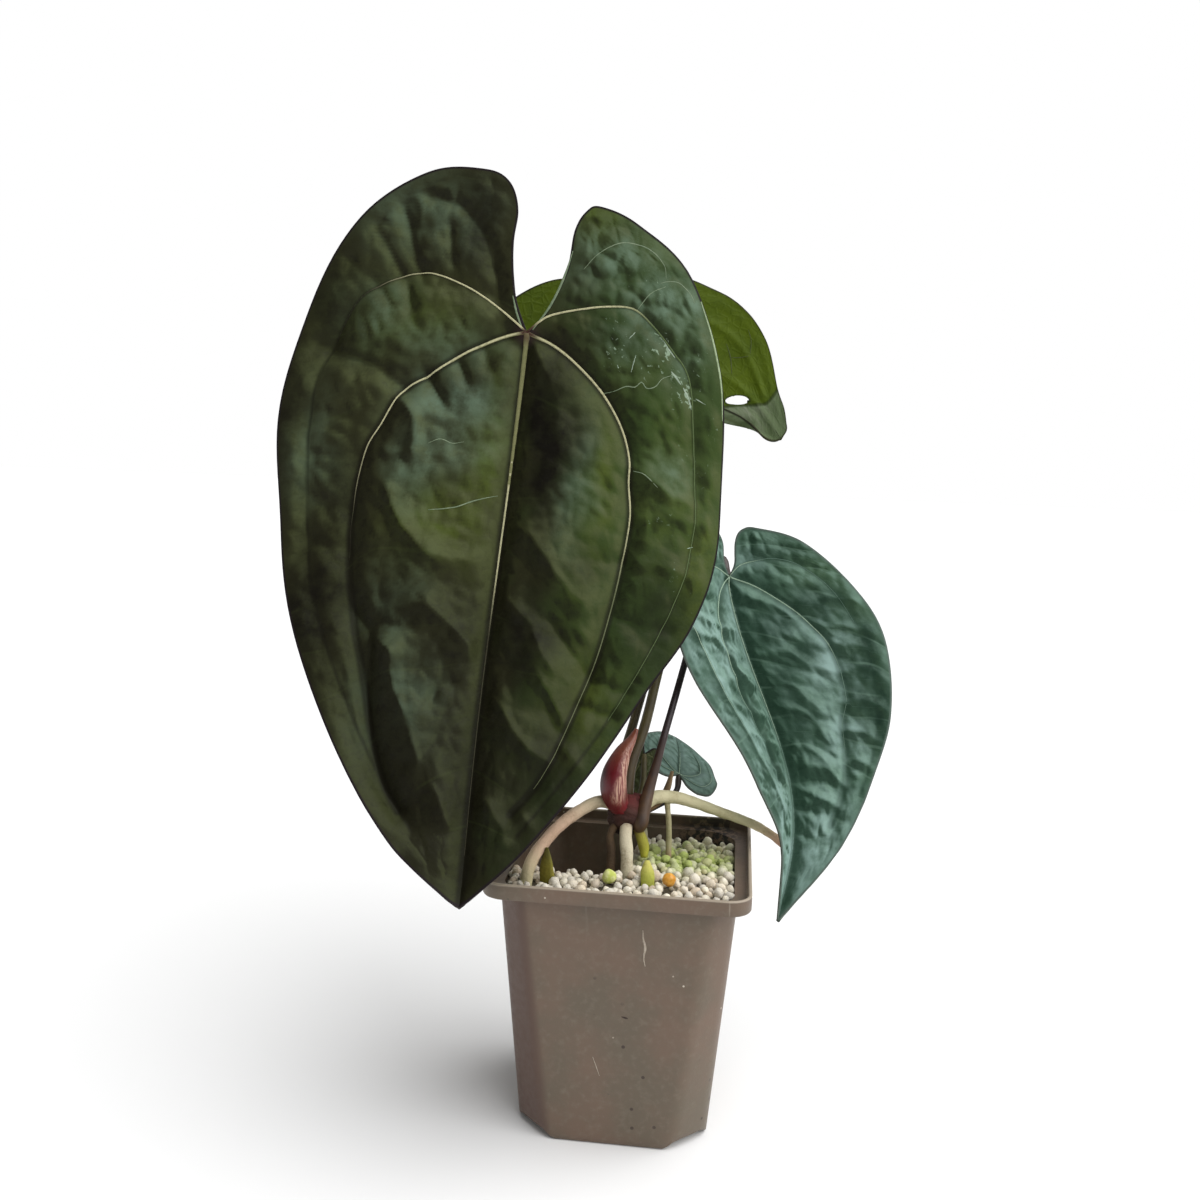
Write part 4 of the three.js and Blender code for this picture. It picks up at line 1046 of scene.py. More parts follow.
def build_leaf(name, upper, under, cord_finish, under_cord_finish, slot):
    """A finished leaf: its blade, and all its cords in one piece with it."""
    leaf = LEAVES[name]
    pieces = [build_blade(name, leaf, upper, under)]
    pieces += vein_cords(name, leaf, cord_finish) + vein_cords(name, leaf, under_cord_finish, under=True)
    if name == "leaf_front":
        pieces += small_cords(name, FINE_VEINS, vein_thin, 0.8)
        pieces += small_cords(name, PAINTED_RIM_HIGHLIGHT, painted_rim_highlight, 0.6)
        pieces += small_cords(name, LEAF_SCUFFS, leaf_scuff, 0.15)
    if name == "leaf_back":
        pieces += small_cords(name, BACK_VEINS, vein_shadow, 0.8, under=True)
    hand_in(join(pieces, name + "_blade"), slot, name)


# %% [markdown]
# ### Finish of the blades
#
# The upper face is velvet: a very dark green with an olive cast, and a painted bluish sheen in patches. The
# shader's own sheen would wander with the view, so the sheen is painted into the colour in fixed places.
# Slopes that lean to the light are painted lighter, and painted shade lies on slopes turned away, beside the
# veins and in dark patches. So the tones are mixed by what was stored on the points: the patches, how each
# place leans to the light, how worn it is, and how far the veins and the edge are.

# %% Velvet
def velvet(name, tones, line_share=0.1, tip_shade=0.0, painted_sheen_everywhere=0.0, hub=0.0, strip=0.7, rough=0.5):
    """The upper face of a blade: green and olive patches, painted sheen, painted light on crests and painted
    shade.
    """
    work = Finish(name, Specular_IOR_Level=0.09)
    across, along, to_edge = work.split(work.stored("blade"))
    rib, nearest, lean = work.split(work.stored("ribs"))
    shade, painted_sheen_patches, olive_patch = work.split(work.stored("mood"))
    wear = work.split(work.stored("marks"))[0]
    flat = work.join(across, along)
    blotches = work.noise(flat, 0.045, 4)
    fine = work.noise(flat, 0.35, 5, 0.6, 0.6)
    rising = work.math("SUBTRACT", across, along)
    falling = work.math("MULTIPLY_ADD", across, 0.5, work.times(along, 0.5))
    speckle = work.noise(work.join(work.times(rising, 0.8), falling), 0.6, 4, 0.68, 0.6)
    mottle = work.step(work.noise(flat, 0.12, 5, 0.62), 0.32, 0.62, 0.35, 1)
    # Greener towards the right, where light shines through the blade: painted light, broken by random
    # blotches.
    uneven = work.times(work.math("SUBTRACT", blotches, 0.5), 1.2)
    greener = work.math("ADD", work.step(across, -30, 76), uneven)
    colour = work.mix(work.step(greener, 0.15, 0.9), tones["dark"], tones["green"])
    colour = work.mix(work.times(olive_patch, mottle), colour, tones["olive"])
    # Painted light: slopes that lean towards the light take the lighter crest tone.
    painted_light_on_slopes = work.times(work.step(lean, -0.1, 0.8, 0.08, 1), work.step(fine, 0.25, 0.6, 0.55, 1), 0.75)
    colour = work.mix(painted_light_on_slopes, colour, tones["crest"])
    # A painted bluish sheen, in the sheen patches and on slopes that lean to the light.
    painted_sheen = work.math("MULTIPLY_ADD", painted_sheen_patches, 1 - painted_sheen_everywhere, painted_sheen_everywhere)
    colour = work.mix(work.times(work.step(lean, -0.7, 0.5, 0.15, 0.9), painted_sheen, mottle), colour, tones["painted_sheen"])
    # Painted shade: slopes turned away from the light, and the shade patches, darken to the darkest tone.
    painted_shade_on_slopes = work.times(work.step(lean, 0.0, -0.7), work.step(fine, 0.25, 0.6, 1, 0.7))
    shaded = work.times(shade, work.math("MULTIPLY_ADD", mottle, -0.6, 1.45))
    darkened = work.times(work.math("MAXIMUM", painted_shade_on_slopes, shaded), 0.8)
    colour = work.mix(darkened, colour, tones["painted_shade"])
    colour = work.mix(work.step(along, 55, 150, 0, tip_shade), colour, tones["painted_shade"])
    # A painted shadow beside the veins, in the creases where they lie.
    colour = work.mix(work.step(nearest, 2.2, 0.7, 0, strip), colour, tones["painted_shade"])
    on_side_vein = work.step(work.math("ABSOLUTE", rib), 0.7, 0.15)
    side_vein = work.times(on_side_vein, work.step(blotches, 0.4, 0.62), line_share)
    colour = work.mix(side_vein, colour, tones["line"])
    crusted = work.math("MULTIPLY_ADD", wear, 0.1, speckle)
    worn = work.times(work.math("MINIMUM", wear, 1), work.step(crusted, 0.68, 0.74), 0.8)
    colour = work.mix(worn, colour, tones["worn"])
    colour = work.mix(work.step(work.far_from(flat), 6, 1.5, 0, hub), colour, tone(44, 30, 30))
    colour = work.mix(work.step(to_edge, 1.0, 0.4), colour, tones["edge"])
    net = work.times(work.step(work.cells(flat, 0.32), 0.0, 0.25), 0.12)
    height = work.math("ADD", net, work.times(fine, 0.8))
    height = work.math("ADD", height, work.times(work.noise(flat, 5.0, 2), 0.15))
    roughness = work.step(fine, 0.2, 0.8, rough - 0.08, rough + 0.1)
    return work.finish(colour, roughness, work.bump(height, 0.22))


def underside(name, main, deep, line, edge, net_share, rib_share, depth=0.25, gloss=0.3, flap=None):
    """The lower face: smoother, with a fine dark net of veins, and a turned-over part if there is one."""
    work = Finish(name, Specular_IOR_Level=gloss)
    across, along, to_edge = work.split(work.stored("blade"))
    rib = work.split(work.stored("ribs"))[0]
    flat = work.join(across, along)
    blotches = work.noise(flat, 0.08, 4)
    colour = work.mix(work.step(blotches, 0.35, 0.65), main, deep)
    net = work.cells(flat, 0.3)
    colour = work.mix(work.times(work.step(net, 0.1, 0.0), net_share), colour, line)
    ribs = work.step(work.math("ABSOLUTE", rib), 0.7, 0.2)
    colour = work.mix(work.times(ribs, rib_share), colour, line)
    if flap:
        # Past the fold, a turned-over part is painted on: grey-green, with painted light from above.
        past_fold, from_hole = work.split(work.stored("marks"))[1:3]
        streaks = work.noise(work.stretch(flat, (0.5, 0.12, 1)), 1.0, 3)
        turned = work.mix(work.step(streaks, 0.35, 0.65), *flap[:2])
        turned = work.mix(work.step(along, 78, 89, 0, 0.75), turned, flap[2])
        colour = work.mix(work.step(past_fold, -0.4, 0.4), colour, turned)
        # Painted shadow along the fold and round the torn hole.
        on_fold = work.step(work.math("ABSOLUTE", past_fold), 0.8, 0.2)
        crease = work.times(work.math("MAXIMUM", on_fold, work.step(from_hole, 0.5, 0.1)), 0.75)
        colour = work.mix(crease, colour, line)
    colour = work.mix(work.step(to_edge, 0.7, 0.25), colour, edge)
    height = work.math("ADD", work.step(net, 0.2, 0.0), work.times(work.noise(flat, 1.2), 0.6))
    return work.finish(colour, work.step(blotches, 0.3, 0.7, 0.5, 0.62), work.bump(height, depth))


def vein_finish(name, cream, ended, green_end, hub):
    """Cords are cream where they start and take the blade's own colour where they fade."""
    work = Finish(name, Roughness=0.7, Specular_IOR_Level=0.2)
    faded, green = work.split(work.stored("faded"))[:2]
    mottle = work.noise(work.place(), 900, 3)
    colour = work.mix(faded, cream, work.mix(green, ended, green_end))
    colour = work.mix(work.step(work.stored("along", "Fac"), 0.035, 0.01), colour, hub)
    colour = work.mix(work.step(mottle, 0.45, 0.75, 0, 0.4), colour, work.mix(0.5, ended, green_end))
    return work.finish(colour, None, work.bump(mottle, 0.15))


def plain(name, first, second, scale, rough, depth=0.1, **sockets):
    """Two tones mottled by noise, for small things."""
    work = Finish(name, Roughness=rough, **sockets)
    mottle = work.noise(work.place(), scale, 4)
    colour = work.mix(work.step(mottle, 0.35, 0.65), first, second)
    return work.finish(colour, None, work.bump(mottle, depth))


# In each set, the crest tone is painted light on slopes that lean to the light, the pale bluish tone a
# painted sheen, and the darkest tone painted shade in creases and on slopes turned away.
DARK_TONES = {
    "dark": tone(40, 40, 21), "green": tone(46, 64, 27), "olive": tone(70, 82, 28),
    "crest": tone(78, 84, 50), "painted_sheen": tone(92, 112, 92), "painted_shade": tone(14, 12, 5),
    "line": tone(66, 76, 40), "worn": tone(140, 160, 136), "edge": tone(28, 22, 24),
}
BLUE_TONES = {
    "dark": tone(54, 82, 64), "green": tone(52, 80, 56), "olive": tone(66, 92, 56),
    "crest": tone(112, 142, 124), "painted_sheen": tone(140, 167, 160), "painted_shade": tone(30, 52, 40),
    "line": tone(116, 146, 128), "worn": tone(180, 190, 180), "edge": tone(84, 98, 90),
}
# The back leaf's tones are painted lighter than the others, for the light that falls through and on it.
LIT_TONES = {
    "dark": tone(60, 74, 40), "green": tone(66, 84, 44), "olive": tone(70, 88, 40),
    "crest": tone(104, 120, 76), "painted_sheen": tone(146, 160, 130), "painted_shade": tone(34, 36, 18),
    "line": tone(96, 110, 66), "worn": tone(150, 160, 130), "edge": tone(40, 42, 28),
}
dark_velvet = velvet("velvet_dark", DARK_TONES, tip_shade=0.4, hub=0.8)
blue_velvet = velvet("velvet_blue", BLUE_TONES, line_share=0.25, painted_sheen_everywhere=0.2, strip=0.4)
lit_upper = velvet("velvet_lit", LIT_TONES, line_share=0.2, strip=0.3, rough=0.55)
dark_under = underside("under_dark", tone(84, 92, 58), tone(74, 84, 50), tone(56, 58, 36), tone(38, 32, 30),
                       net_share=0.35, rib_share=0.3)
blue_under = underside("under_blue", tone(104, 128, 106), tone(92, 116, 94), tone(70, 88, 66),
                       tone(84, 96, 86), net_share=0.3, rib_share=0.35)
# The back leaf's underside is painted bright yellow-green for the light that shines through it from behind.
lit_under = underside("under_lit", tone(76, 92, 12), tone(68, 84, 14), tone(38, 50, 12), tone(44, 46, 24),
                      net_share=0.08, rib_share=0.12, depth=0.08, gloss=0.1,
                      flap=(tone(94, 108, 78), tone(112, 120, 98), tone(74, 90, 56)))
# Each cord's tone where it starts, where it has faded, where it has faded to green, and at the hub
vein_dark = vein_finish("vein_cream", tone(186, 182, 144), tone(30, 26, 15), tone(82, 98, 60),
                        tone(70, 46, 38))
vein_blue = vein_finish("vein_pale_green", tone(150, 172, 150), tone(96, 124, 110), tone(84, 110, 96),
                        tone(150, 172, 150))
vein_lit = vein_finish("vein_olive", tone(96, 104, 44), tone(70, 84, 30), tone(80, 92, 40),
                       tone(96, 104, 44))
rib_dark = vein_finish("rib_olive", tone(124, 124, 84), tone(84, 92, 58), tone(84, 92, 58), tone(96, 84, 60))
rib_blue = vein_finish("rib_pale_green", tone(132, 150, 120), tone(104, 126, 104), tone(104, 126, 104),
                       tone(120, 132, 104))
rib_lit = vein_finish("rib_lit", tone(92, 106, 30), tone(80, 94, 24), tone(80, 94, 24), tone(92, 106, 30))
vein_thin = plain("vein_thin", tone(118, 132, 104), tone(98, 116, 88), 700, 0.6)
painted_rim_highlight = plain("painted_rim_highlight", tone(154, 170, 134), tone(130, 148, 110), 700, 0.6)
vein_shadow = plain("vein_shadow", tone(52, 62, 18), tone(60, 70, 22), 700, 0.6)
leaf_scuff = plain("leaf_scuff", tone(150, 164, 146), tone(120, 138, 118), 1500, 0.7)

build_leaf("leaf_front", dark_velvet, dark_under, vein_dark, rib_dark, "leaf_velvet_dark")
build_leaf("leaf_right", blue_velvet, blue_under, vein_blue, rib_blue, "leaf_velvet_blue")
build_leaf("leaf_back", lit_upper, lit_under, vein_lit, rib_lit, "leaf_lit")
build_leaf("leaf_small", blue_velvet, blue_under, vein_blue, rib_blue, "leaf_velvet_blue")
build_leaf("leaf_low", dark_velvet, dark_under, vein_dark, rib_dark, "leaf_velvet_dark")

# %% [markdown]
# ## Pot
#
# The pot is a thin injection-moulded shell: a tapered square with wide soft chamfers whose feet are lifted
# off the ground, and a rim band with round corners. It could be cut from a box, but every level of it is a
# ring of the same kind, so one long strip of rings is wrapped round: up the outside, over the lip and down
# the inside.

# %% Pot
POT_HEIGHT = 95
RIM_HALF = 45
RIM_ROUND = 8
SHELF = 89.5
BODY_TOP, BODY_FOOT = 40.5, 33.5
CUT_TOP, CUT_FOOT = 8.2, 11
CORNER_LIFT = 2.6
SOFT_CORNER = 3.4
POT_WALL = 1.2
FLOOR_WALL = 1.8
DRAIN_RADIUS = 3.5
DRAIN_RING = 19
DRAIN_SIDES = 20
SIDE_POINTS = 5
CORNER_POINTS = 10
# How the foot of a chamfer rises along its corner, as shares of the lift
LIFT_SHARES = np.array([0, 0.3, 0.75, 0.95, 1, 1, 0.95, 0.75, 0.3, 0])


def soft_corner(before, corner, after, count=5):
    """Points on a soft turn from one place to another, around a corner."""
    t = np.linspace(0, 1, count)[:, None]
    return (1 - t) ** 2 * before + 2 * t * (1 - t) * corner + t**2 * after


def pot_ring(half, z, cut=0.0, rounding=0.0, lift=0.0):
    """One level of the pot: a square with its corners cut, or rounded."""
    if rounding:
        angles = np.linspace(0, np.pi / 2, CORNER_POINTS)
        corner = (half - rounding) + rounding * np.stack([np.cos(angles), np.sin(angles)], -1)
        heights = np.zeros(CORNER_POINTS)
    else:
        near = half - cut
        soft = min(SOFT_CORNER, cut * 0.4)
        slant = soft / math.sqrt(2)
        turn = np.array([[half, near - soft], [half, near], [half - slant, near + slant]])
        first = soft_corner(*turn)
        corner = np.vstack([first, first[::-1, ::-1]])
        heights = lift * LIFT_SHARES
    quarter = np.column_stack([corner, z + heights])
    next_start = np.array([-quarter[0, 1], quarter[0, 0], quarter[0, 2]])
    share = np.linspace(0, 1, SIDE_POINTS + 2)[1:-1, None]
    quarter = np.vstack([quarter, quarter[-1] + (next_start - quarter[-1]) * share])
    ring = [quarter]
    for _ in range(3):
        x, y, height = ring[-1].T
        ring.append(np.column_stack([-y, x, height]))
    return np.vstack(ring)


def between(low, high, shares):
    return [low + (high - low) * share for share in shares]


def pot_rings():
    """All levels of the pot: from the middle of its floor up outside, over the lip and down inside."""
    foot = pot_ring(BODY_FOOT, 0, CUT_FOOT, lift=CORNER_LIFT)
    top = pot_ring(BODY_TOP, SHELF, CUT_TOP)
    inner_foot = pot_ring(BODY_FOOT - POT_WALL, FLOOR_WALL, CUT_FOOT, lift=CORNER_LIFT)
    inner_top = pot_ring(BODY_TOP - POT_WALL, SHELF + POT_WALL, CUT_TOP)
    in_half, in_round = RIM_HALF - POT_WALL, RIM_ROUND - POT_WALL
    rings = [foot * 0, foot * (0.5, 0.5, 0), foot * (0.93, 0.93, 1), foot * (0.985, 0.985, 1) + (0, 0, 0.1),
             foot + (0, 0, 0.7)]
    rings += between(foot + (0, 0, 0.7), top, (0.02, 0.1, 0.3, 0.5, 0.7, 0.9, 0.98, 0.994))
    rings += [top * (1.006, 1.006, 1) + (0, 0, -0.15)]
    for half, z, rounding in (
        (RIM_HALF - 0.7, SHELF, RIM_ROUND), (RIM_HALF - 0.2, SHELF + 0.15, RIM_ROUND),
        (RIM_HALF, SHELF + 0.6, RIM_ROUND), (RIM_HALF, SHELF + 3, RIM_ROUND),
        (RIM_HALF, POT_HEIGHT - 1.5, RIM_ROUND), (RIM_HALF - 0.12, POT_HEIGHT - 0.9, RIM_ROUND),
        (RIM_HALF, POT_HEIGHT - 0.4, RIM_ROUND), (RIM_HALF - 0.25, POT_HEIGHT - 0.05, RIM_ROUND),
        (RIM_HALF - 0.5, POT_HEIGHT, RIM_ROUND), (in_half + 0.3, POT_HEIGHT, in_round),
        (in_half, POT_HEIGHT - 0.3, in_round), (in_half, SHELF + POT_WALL + 0.5, in_round),
        (in_half - 0.5, SHELF + POT_WALL, in_round),
    ):
        rings.append(pot_ring(half, z, rounding=rounding))
    rings += between(inner_top, inner_foot, (0, 0.01, 0.1, 0.4, 0.7, 0.9, 0.99, 1))
    rings += [inner_foot * (0.96, 0.96, 0) + (0, 0, FLOOR_WALL), inner_foot * 0 + (0, 0, FLOOR_WALL)]
    return rings


def wrap(name, rings):
    """A closed piece from rings of equally many points, by rolling up one grid."""
    around = len(rings[0])
    piece, part, share = grid(name, around, len(rings) - 1)
    column = np.rint(part * around).astype(int) % around
    row = np.rint(share * (len(rings) - 1)).astype(int)
    move_points(piece, np.array(rings)[row, column])
    edit(piece, weld(), lambda: bpy.ops.mesh.normals_make_consistent(inside=False))
    return piece


def drill(piece):
    """Cuts the drain holes in the floor with round cutters."""
    for turn in range(4):
        angle = math.pi / 2 * turn
        bpy.ops.object.select_all(action="DESELECT")
        place = Vector((math.cos(angle), math.sin(angle), 0)) * DRAIN_RING * MM
        bpy.ops.mesh.primitive_cylinder_add(vertices=DRAIN_SIDES, radius=DRAIN_RADIUS * MM, depth=8 * MM,
                                            location=place)
        cutter = bpy.context.object
        hole = piece.modifiers.new("hole", "BOOLEAN")
        hole.object = cutter
        hole.solver = "EXACT"
        bpy.context.view_layer.objects.active = piece
        bpy.ops.object.modifier_apply(modifier="hole")
        bpy.data.objects.remove(cutter)


def smooth_by_angle(piece, degrees):
    bpy.ops.object.select_all(action="DESELECT")
    piece.select_set(True)
    bpy.context.view_layer.objects.active = piece
    bpy.ops.object.shade_smooth_by_angle(angle=math.radians(degrees))


# Where a nearly black patch lies on the inner wall, at the back right, in metres
DARK_PATCH_AT = (0.030, 0.038, 0.085)


def past_chamfer(work, reach, half, height):
    """How far a place lies past the plane of a chamfer, from the sum of its places along both sides."""
    cut = work.math("MULTIPLY_ADD", height, (CUT_TOP - CUT_FOOT) / SHELF, CUT_FOOT * MM)
    return work.math("ADD", reach, work.math("MULTIPLY_ADD", half, -2, cut))


def pot_plastic():
    """Taupe plastic, a little dusty, specks, drag marks, painted shade and highlight, a dark patch inside."""
    work = Finish("pot_plastic", Specular_IOR_Level=0.45)
    place = work.place()
    cloud = work.noise(place, 38, 4)
    fine = work.noise(place, 420, 4, 0.65)
    colour = work.mix(work.step(cloud, 0.36, 0.64), tone(106, 87, 72), tone(96, 85, 70))
    colour = work.mix(work.step(fine, 0.45, 0.8, 0, 0.25), colour, tone(136, 128, 114))
    drag = work.noise(work.stretch(place, (260, 260, 14)), 1.0, 3, 0.6, 0.4)
    colour = work.mix(work.step(drag, 0.7, 0.8, 0, 0.35), colour, tone(176, 166, 150))
    specks = work.times(work.step(work.cells(place, 170, "F1"), 0.13, 0.08), work.step(cloud, 0.5, 0.6))
    colour = work.mix(specks, colour, tone(60, 48, 40))
    dust = work.cells(place, 95, "F1")
    colour = work.mix(work.step(dust, 0.04, 0.025), colour, tone(190, 180, 164))
    x, y, z = work.split(place)
    both = work.math("ADD", x, y)
    body_half = work.math("MULTIPLY_ADD", z, (BODY_TOP - BODY_FOOT) / SHELF, BODY_FOOT * MM)
    # Painted shade on the front-left chamfer, which is turned away from the light.
    front_left = past_chamfer(work, work.times(both, -1), body_half, z)
    painted_shade_chamfer = work.times(work.step(front_left, -0.0035, -0.0005), work.step(z, 0.0896, 0.0892))
    colour = work.mix(painted_shade_chamfer, colour, tone(88, 66, 54))
    # A painted highlight along the top of the lip.
    colour = work.mix(work.step(z, 0.0942, 0.0947, 0, 0.7), colour, tone(168, 156, 138))
    wall = work.math("ADD", work.math("SUBTRACT", body_half, POT_WALL / 2 * MM),
                     work.step(z, 0.0896, 0.0902, 0, 0.0043))
    past_wall = work.math("MAXIMUM", work.math("SUBTRACT", work.math("MAXIMUM", x, y), wall),
                          past_chamfer(work, both, wall, z))
    near_dark_patch = work.step(work.far_from(place, DARK_PATCH_AT), 0.019, 0.007)
    dark_patch = work.times(near_dark_patch, work.step(fine, 0.42, 0.52), work.step(past_wall, 0.0002, -0.0002))
    colour = work.mix(dark_patch, colour, tone(20, 17, 14))
    height = work.math("ADD", work.times(fine, 0.5), work.noise(place, 2600, 2))
    return work.finish(colour, work.step(fine, 0.3, 0.7, 0.38, 0.52), work.bump(height, 0.05))


pot = wrap("pot_shell", pot_rings())
drill(pot)
pot.data.materials.append(pot_plastic())
smooth_by_angle(pot, 40)
hand_in(pot, "pot_plastic", "pot")

# %% [markdown]
# ### Scuffs on the pot
#
# A pot that has been handled has a few marks in places of its own: a long pale scuff under the rim, a short
# scratch low down and some stuck crumbs. Each is a flat sliver, less than a tenth of a millimetre proud of
# the face, so it stays sharp.

# %% Scuffs
SLIVER_RINGS = 14
SLIVER_SIDES = 6
SLIVER_FLAT = 0.12


def front_face(x, z, proud=0.02):
    """A place on the pot's front face."""
    return np.array([x, -(BODY_FOOT + (BODY_TOP - BODY_FOOT) * z / SHELF) - proud, z])


def sliver(name, points, widths):
    """A flat tube along places on the front face, with half its width at even steps."""
    path = np.array([front_face(x, z) for x, z in points])
    shares = np.linspace(0, 1, SLIVER_RINGS)
    radii = np.interp(shares, np.linspace(0, 1, len(widths)), widths)
    even_path = spread(curve_through(path, 6), shares)
    sideways = np.tile([1.0, 0.0, 0.1], (SLIVER_RINGS, 1))
    return tube(name, even_path, radii, SLIVER_SIDES, SLIVER_FLAT, normals=sideways)


# Places across and up the front face, and half the width from the start to the end
SCUFFS = {
    "long_scuff": (
        [(9.6, 81), (9.9, 77.5), (10.6, 75), (10.2, 71), (10.8, 68)], (0.12, 0.3, 0.5, 0.28, 0.1),
    ),
    "short_scratch": ([(-6, 33), (-4.9, 30), (-4.2, 28), (-3.5, 26)], (0.1, 0.16, 0.14, 0.08)),
    "dark_nick": ([(3.4, 48.9), (4.6, 48.6), (5.6, 48.4)], (0.12, 0.35, 0.14)),
    "crumb_high": ([(20, 65.3), (20.4, 65)], (0.3, 0.3)),
    "crumb_low": ([(0.6, 41), (1, 40.7)], (0.28, 0.28)),
}


pale_mark = plain("pale_mark", tone(176, 164, 148), tone(150, 138, 122), 900, 0.7)
dark_mark = plain("dark_mark", tone(52, 38, 32), tone(66, 50, 42), 900, 0.7)
for scuff, (points, widths) in SCUFFS.items():
    mark = sliver(scuff, points, widths)
    mark.data.materials.append(dark_mark if scuff == "dark_nick" else pale_mark)
    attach(mark, "root")
print("scuffs:", len(SCUFFS))

# %% [markdown]
# ## Perlite
#
# Perlite is puffed volcanic glass: thousands of light, rounded crumbs. Only the ones on top are seen, so a
# bed fills the pot to just under the surface, painted dark as the shade in the gaps, and the crumbs lie on
# it. One crumb is modelled from a small ball, and the others are copies that are stretched, turned and
# dented by seeded noise.

# %% Perlite
FILL_LEVEL = 91.2
HOLLOW_DEPTH = 25
BACK_FALL = 4.5
GRAIN_SIZES = (1.25, 2.1)
GRAIN_SPACING = 2.75
GRAIN_SEED = 21
# The layers of crumbs, as spacing and number of throws
LAYERS = ((GRAIN_SPACING, 9000), (GRAIN_SPACING * 1.5, 3000))
BED_CELLS = 40
BED_DEPTH = 1.6
BED_LEVEL = 80
# Where algae have greened the crumbs most, in metres
ALGAE_AT = (0.022, 0.010, 0.091)
# What stands in the perlite and keeps crumbs away: places and radii
STANDING = [(-30.8, -31.5, 2.1), (1.5, -15.5, 2.2), (-4.5, -13.5, 1.7), (5, 19, 1.7), (6.8, -6.8, 1.9),
            (14.5, 12, 1.2), (-24.6, -28, 2.8), (9.5, -24, 2.3), (17, -28, 2.4), (-3.4, -27.5, 2.6)]


def fill_level(x, y):
    """How high the perlite stands: hollow at the back left, and falling a little to the back right."""
    hollow = HOLLOW_DEPTH * soft_step(x, 8, -12) * soft_step(y, -21, 6)
    return FILL_LEVEL - hollow - BACK_FALL * soft_step(y, -20, 38) * (1 - soft_step(x, 8, -12))


def inner_half(z):
    """Half the width between the pot's inner walls."""
    return BODY_FOOT - POT_WALL + (BODY_TOP - BODY_FOOT) * np.clip(z / SHELF, 0, 1)


def fill_body():
    """The mass under the crumbs, in painted shade, from the pot's floor to just under their tops."""
    piece, part, share = grid("perlite_bed", BED_CELLS, BED_CELLS)
    half = inner_half(BED_LEVEL) - 0.4
    x, y = (part * 2 - 1) * half, (share * 2 - 1) * half
    cut = np.maximum(np.abs(x) + np.abs(y) - (2 * half - CUT_TOP), 0) / 2
    x, y = x - np.sign(x) * cut, y - np.sign(y) * cut
    z = fill_level(x, y) - BED_DEPTH
    narrow = inner_half(z) / inner_half(BED_LEVEL)
    move_points(piece, np.stack([x * narrow, y * narrow, z], -1))
    edit(piece,
         lambda: bpy.ops.mesh.select_all(action="DESELECT"),
         bpy.ops.mesh.select_non_manifold,
         bpy.ops.mesh.extrude_region_move,
         lambda: bpy.ops.transform.resize(value=(0.82, 0.82, 0), center_override=(0, 0, 0.0025)),
         lambda: bpy.ops.mesh.fill_holes(sides=0),
         lambda: bpy.ops.mesh.select_all(action="SELECT"),
         lambda: bpy.ops.mesh.normals_make_consistent(inside=False))
    keep_off_corners(piece)
    smooth_by_angle(piece, 50)
    return piece


def keep_off_corners(piece):
    """Draws the foot of the bed in at the pot's cut corners."""
    room = 2 * inner_half(0) - CUT_FOOT - 1.5
    for vertex in piece.data.vertices:
        x, y, z = vertex.co / MM
        past = max(abs(x) + abs(y) - room, 0) / 2
        if z < 10 and past > 0:
            vertex.co = Vector((x - math.copysign(past, x), y - math.copysign(past, y), z)) * MM


def grain_places():
    """Where the crumbs lie: seeded throws that keep their distance, in one layer and a looser one on top."""
    draw = np.random.default_rng(GRAIN_SEED)
    kept = []
    for layer, (spacing, throws) in enumerate(LAYERS):
        first = len(kept)
        for _ in range(throws):
            x, y = draw.uniform(-1, 1, 2) * (BODY_TOP - 1.2)
            radius = GRAIN_SIZES[0] + (GRAIN_SIZES[1] - GRAIN_SIZES[0]) * draw.random() ** 1.4
            level = float(fill_level(x, y))
            half = float(inner_half(level)) - radius * 0.75
            if max(abs(x), abs(y)) > half or abs(x) + abs(y) > 2 * half - CUT_TOP:
                continue
            layer_places = np.array(kept[first:])[:, :2] if len(kept) > first else np.full((1, 2), 1e3)
            if np.min(np.hypot(layer_places[:, 0] - x, layer_places[:, 1] - y)) < spacing:
                continue
            if any(math.hypot(px - x, py - y) < pr + radius * 0.7 for px, py, pr in STANDING):
                continue
            height = level - 0.9 + draw.uniform(-0.6, 0.5) + layer * radius * 0.9
            kept.append((x, y, min(height, POT_HEIGHT - radius - 0.2), radius))
    return np.array(kept)


def grains():
    """All crumbs in one mesh: copies of a small ball, each stretched, turned and dented in its own way."""
    bpy.ops.object.select_all(action="DESELECT")
    bpy.ops.mesh.primitive_ico_sphere_add(subdivisions=2, radius=1)
    model = bpy.context.object
    ball = np.array([v.co for v in model.data.vertices])
    faces = np.array([list(p.vertices) for p in model.data.polygons])
    bpy.data.objects.remove(model)
    draw = np.random.default_rng(GRAIN_SEED + 1)
    points, triangles, tints = [], [], []
    for i, (x, y, z, radius) in enumerate(grain_places()):
        turn = np.array(Matrix.Rotation(draw.uniform(0, 6.28), 3, Vector(draw.normal(size=3))))
        lumps = np.array([noise.noise(Vector(p) * 1.3 + Vector((i * 7.1, 0, 0))) for p in ball])
        shape = ball * (1 + 0.28 * lumps)[:, None] * draw.uniform(0.8, 1.1, 3)
        points.append(shape @ turn.T * radius + (x, y, z))
        triangles.append(faces + i * len(ball))
        tints.append(np.tile([draw.random(), draw.random(), draw.random()], (len(ball), 1)))
    mesh = bpy.data.meshes.new("perlite_grains")
    mesh.from_pydata((np.vstack(points) * MM).tolist(), [], np.vstack(triangles).tolist())
    piece = bpy.data.objects.new("perlite_grains", mesh)
    bpy.context.scene.collection.objects.link(piece)
    store(piece, "tint", np.vstack(tints))
    smooth_shade(piece)
    print("crumbs:", len(points))
    return piece


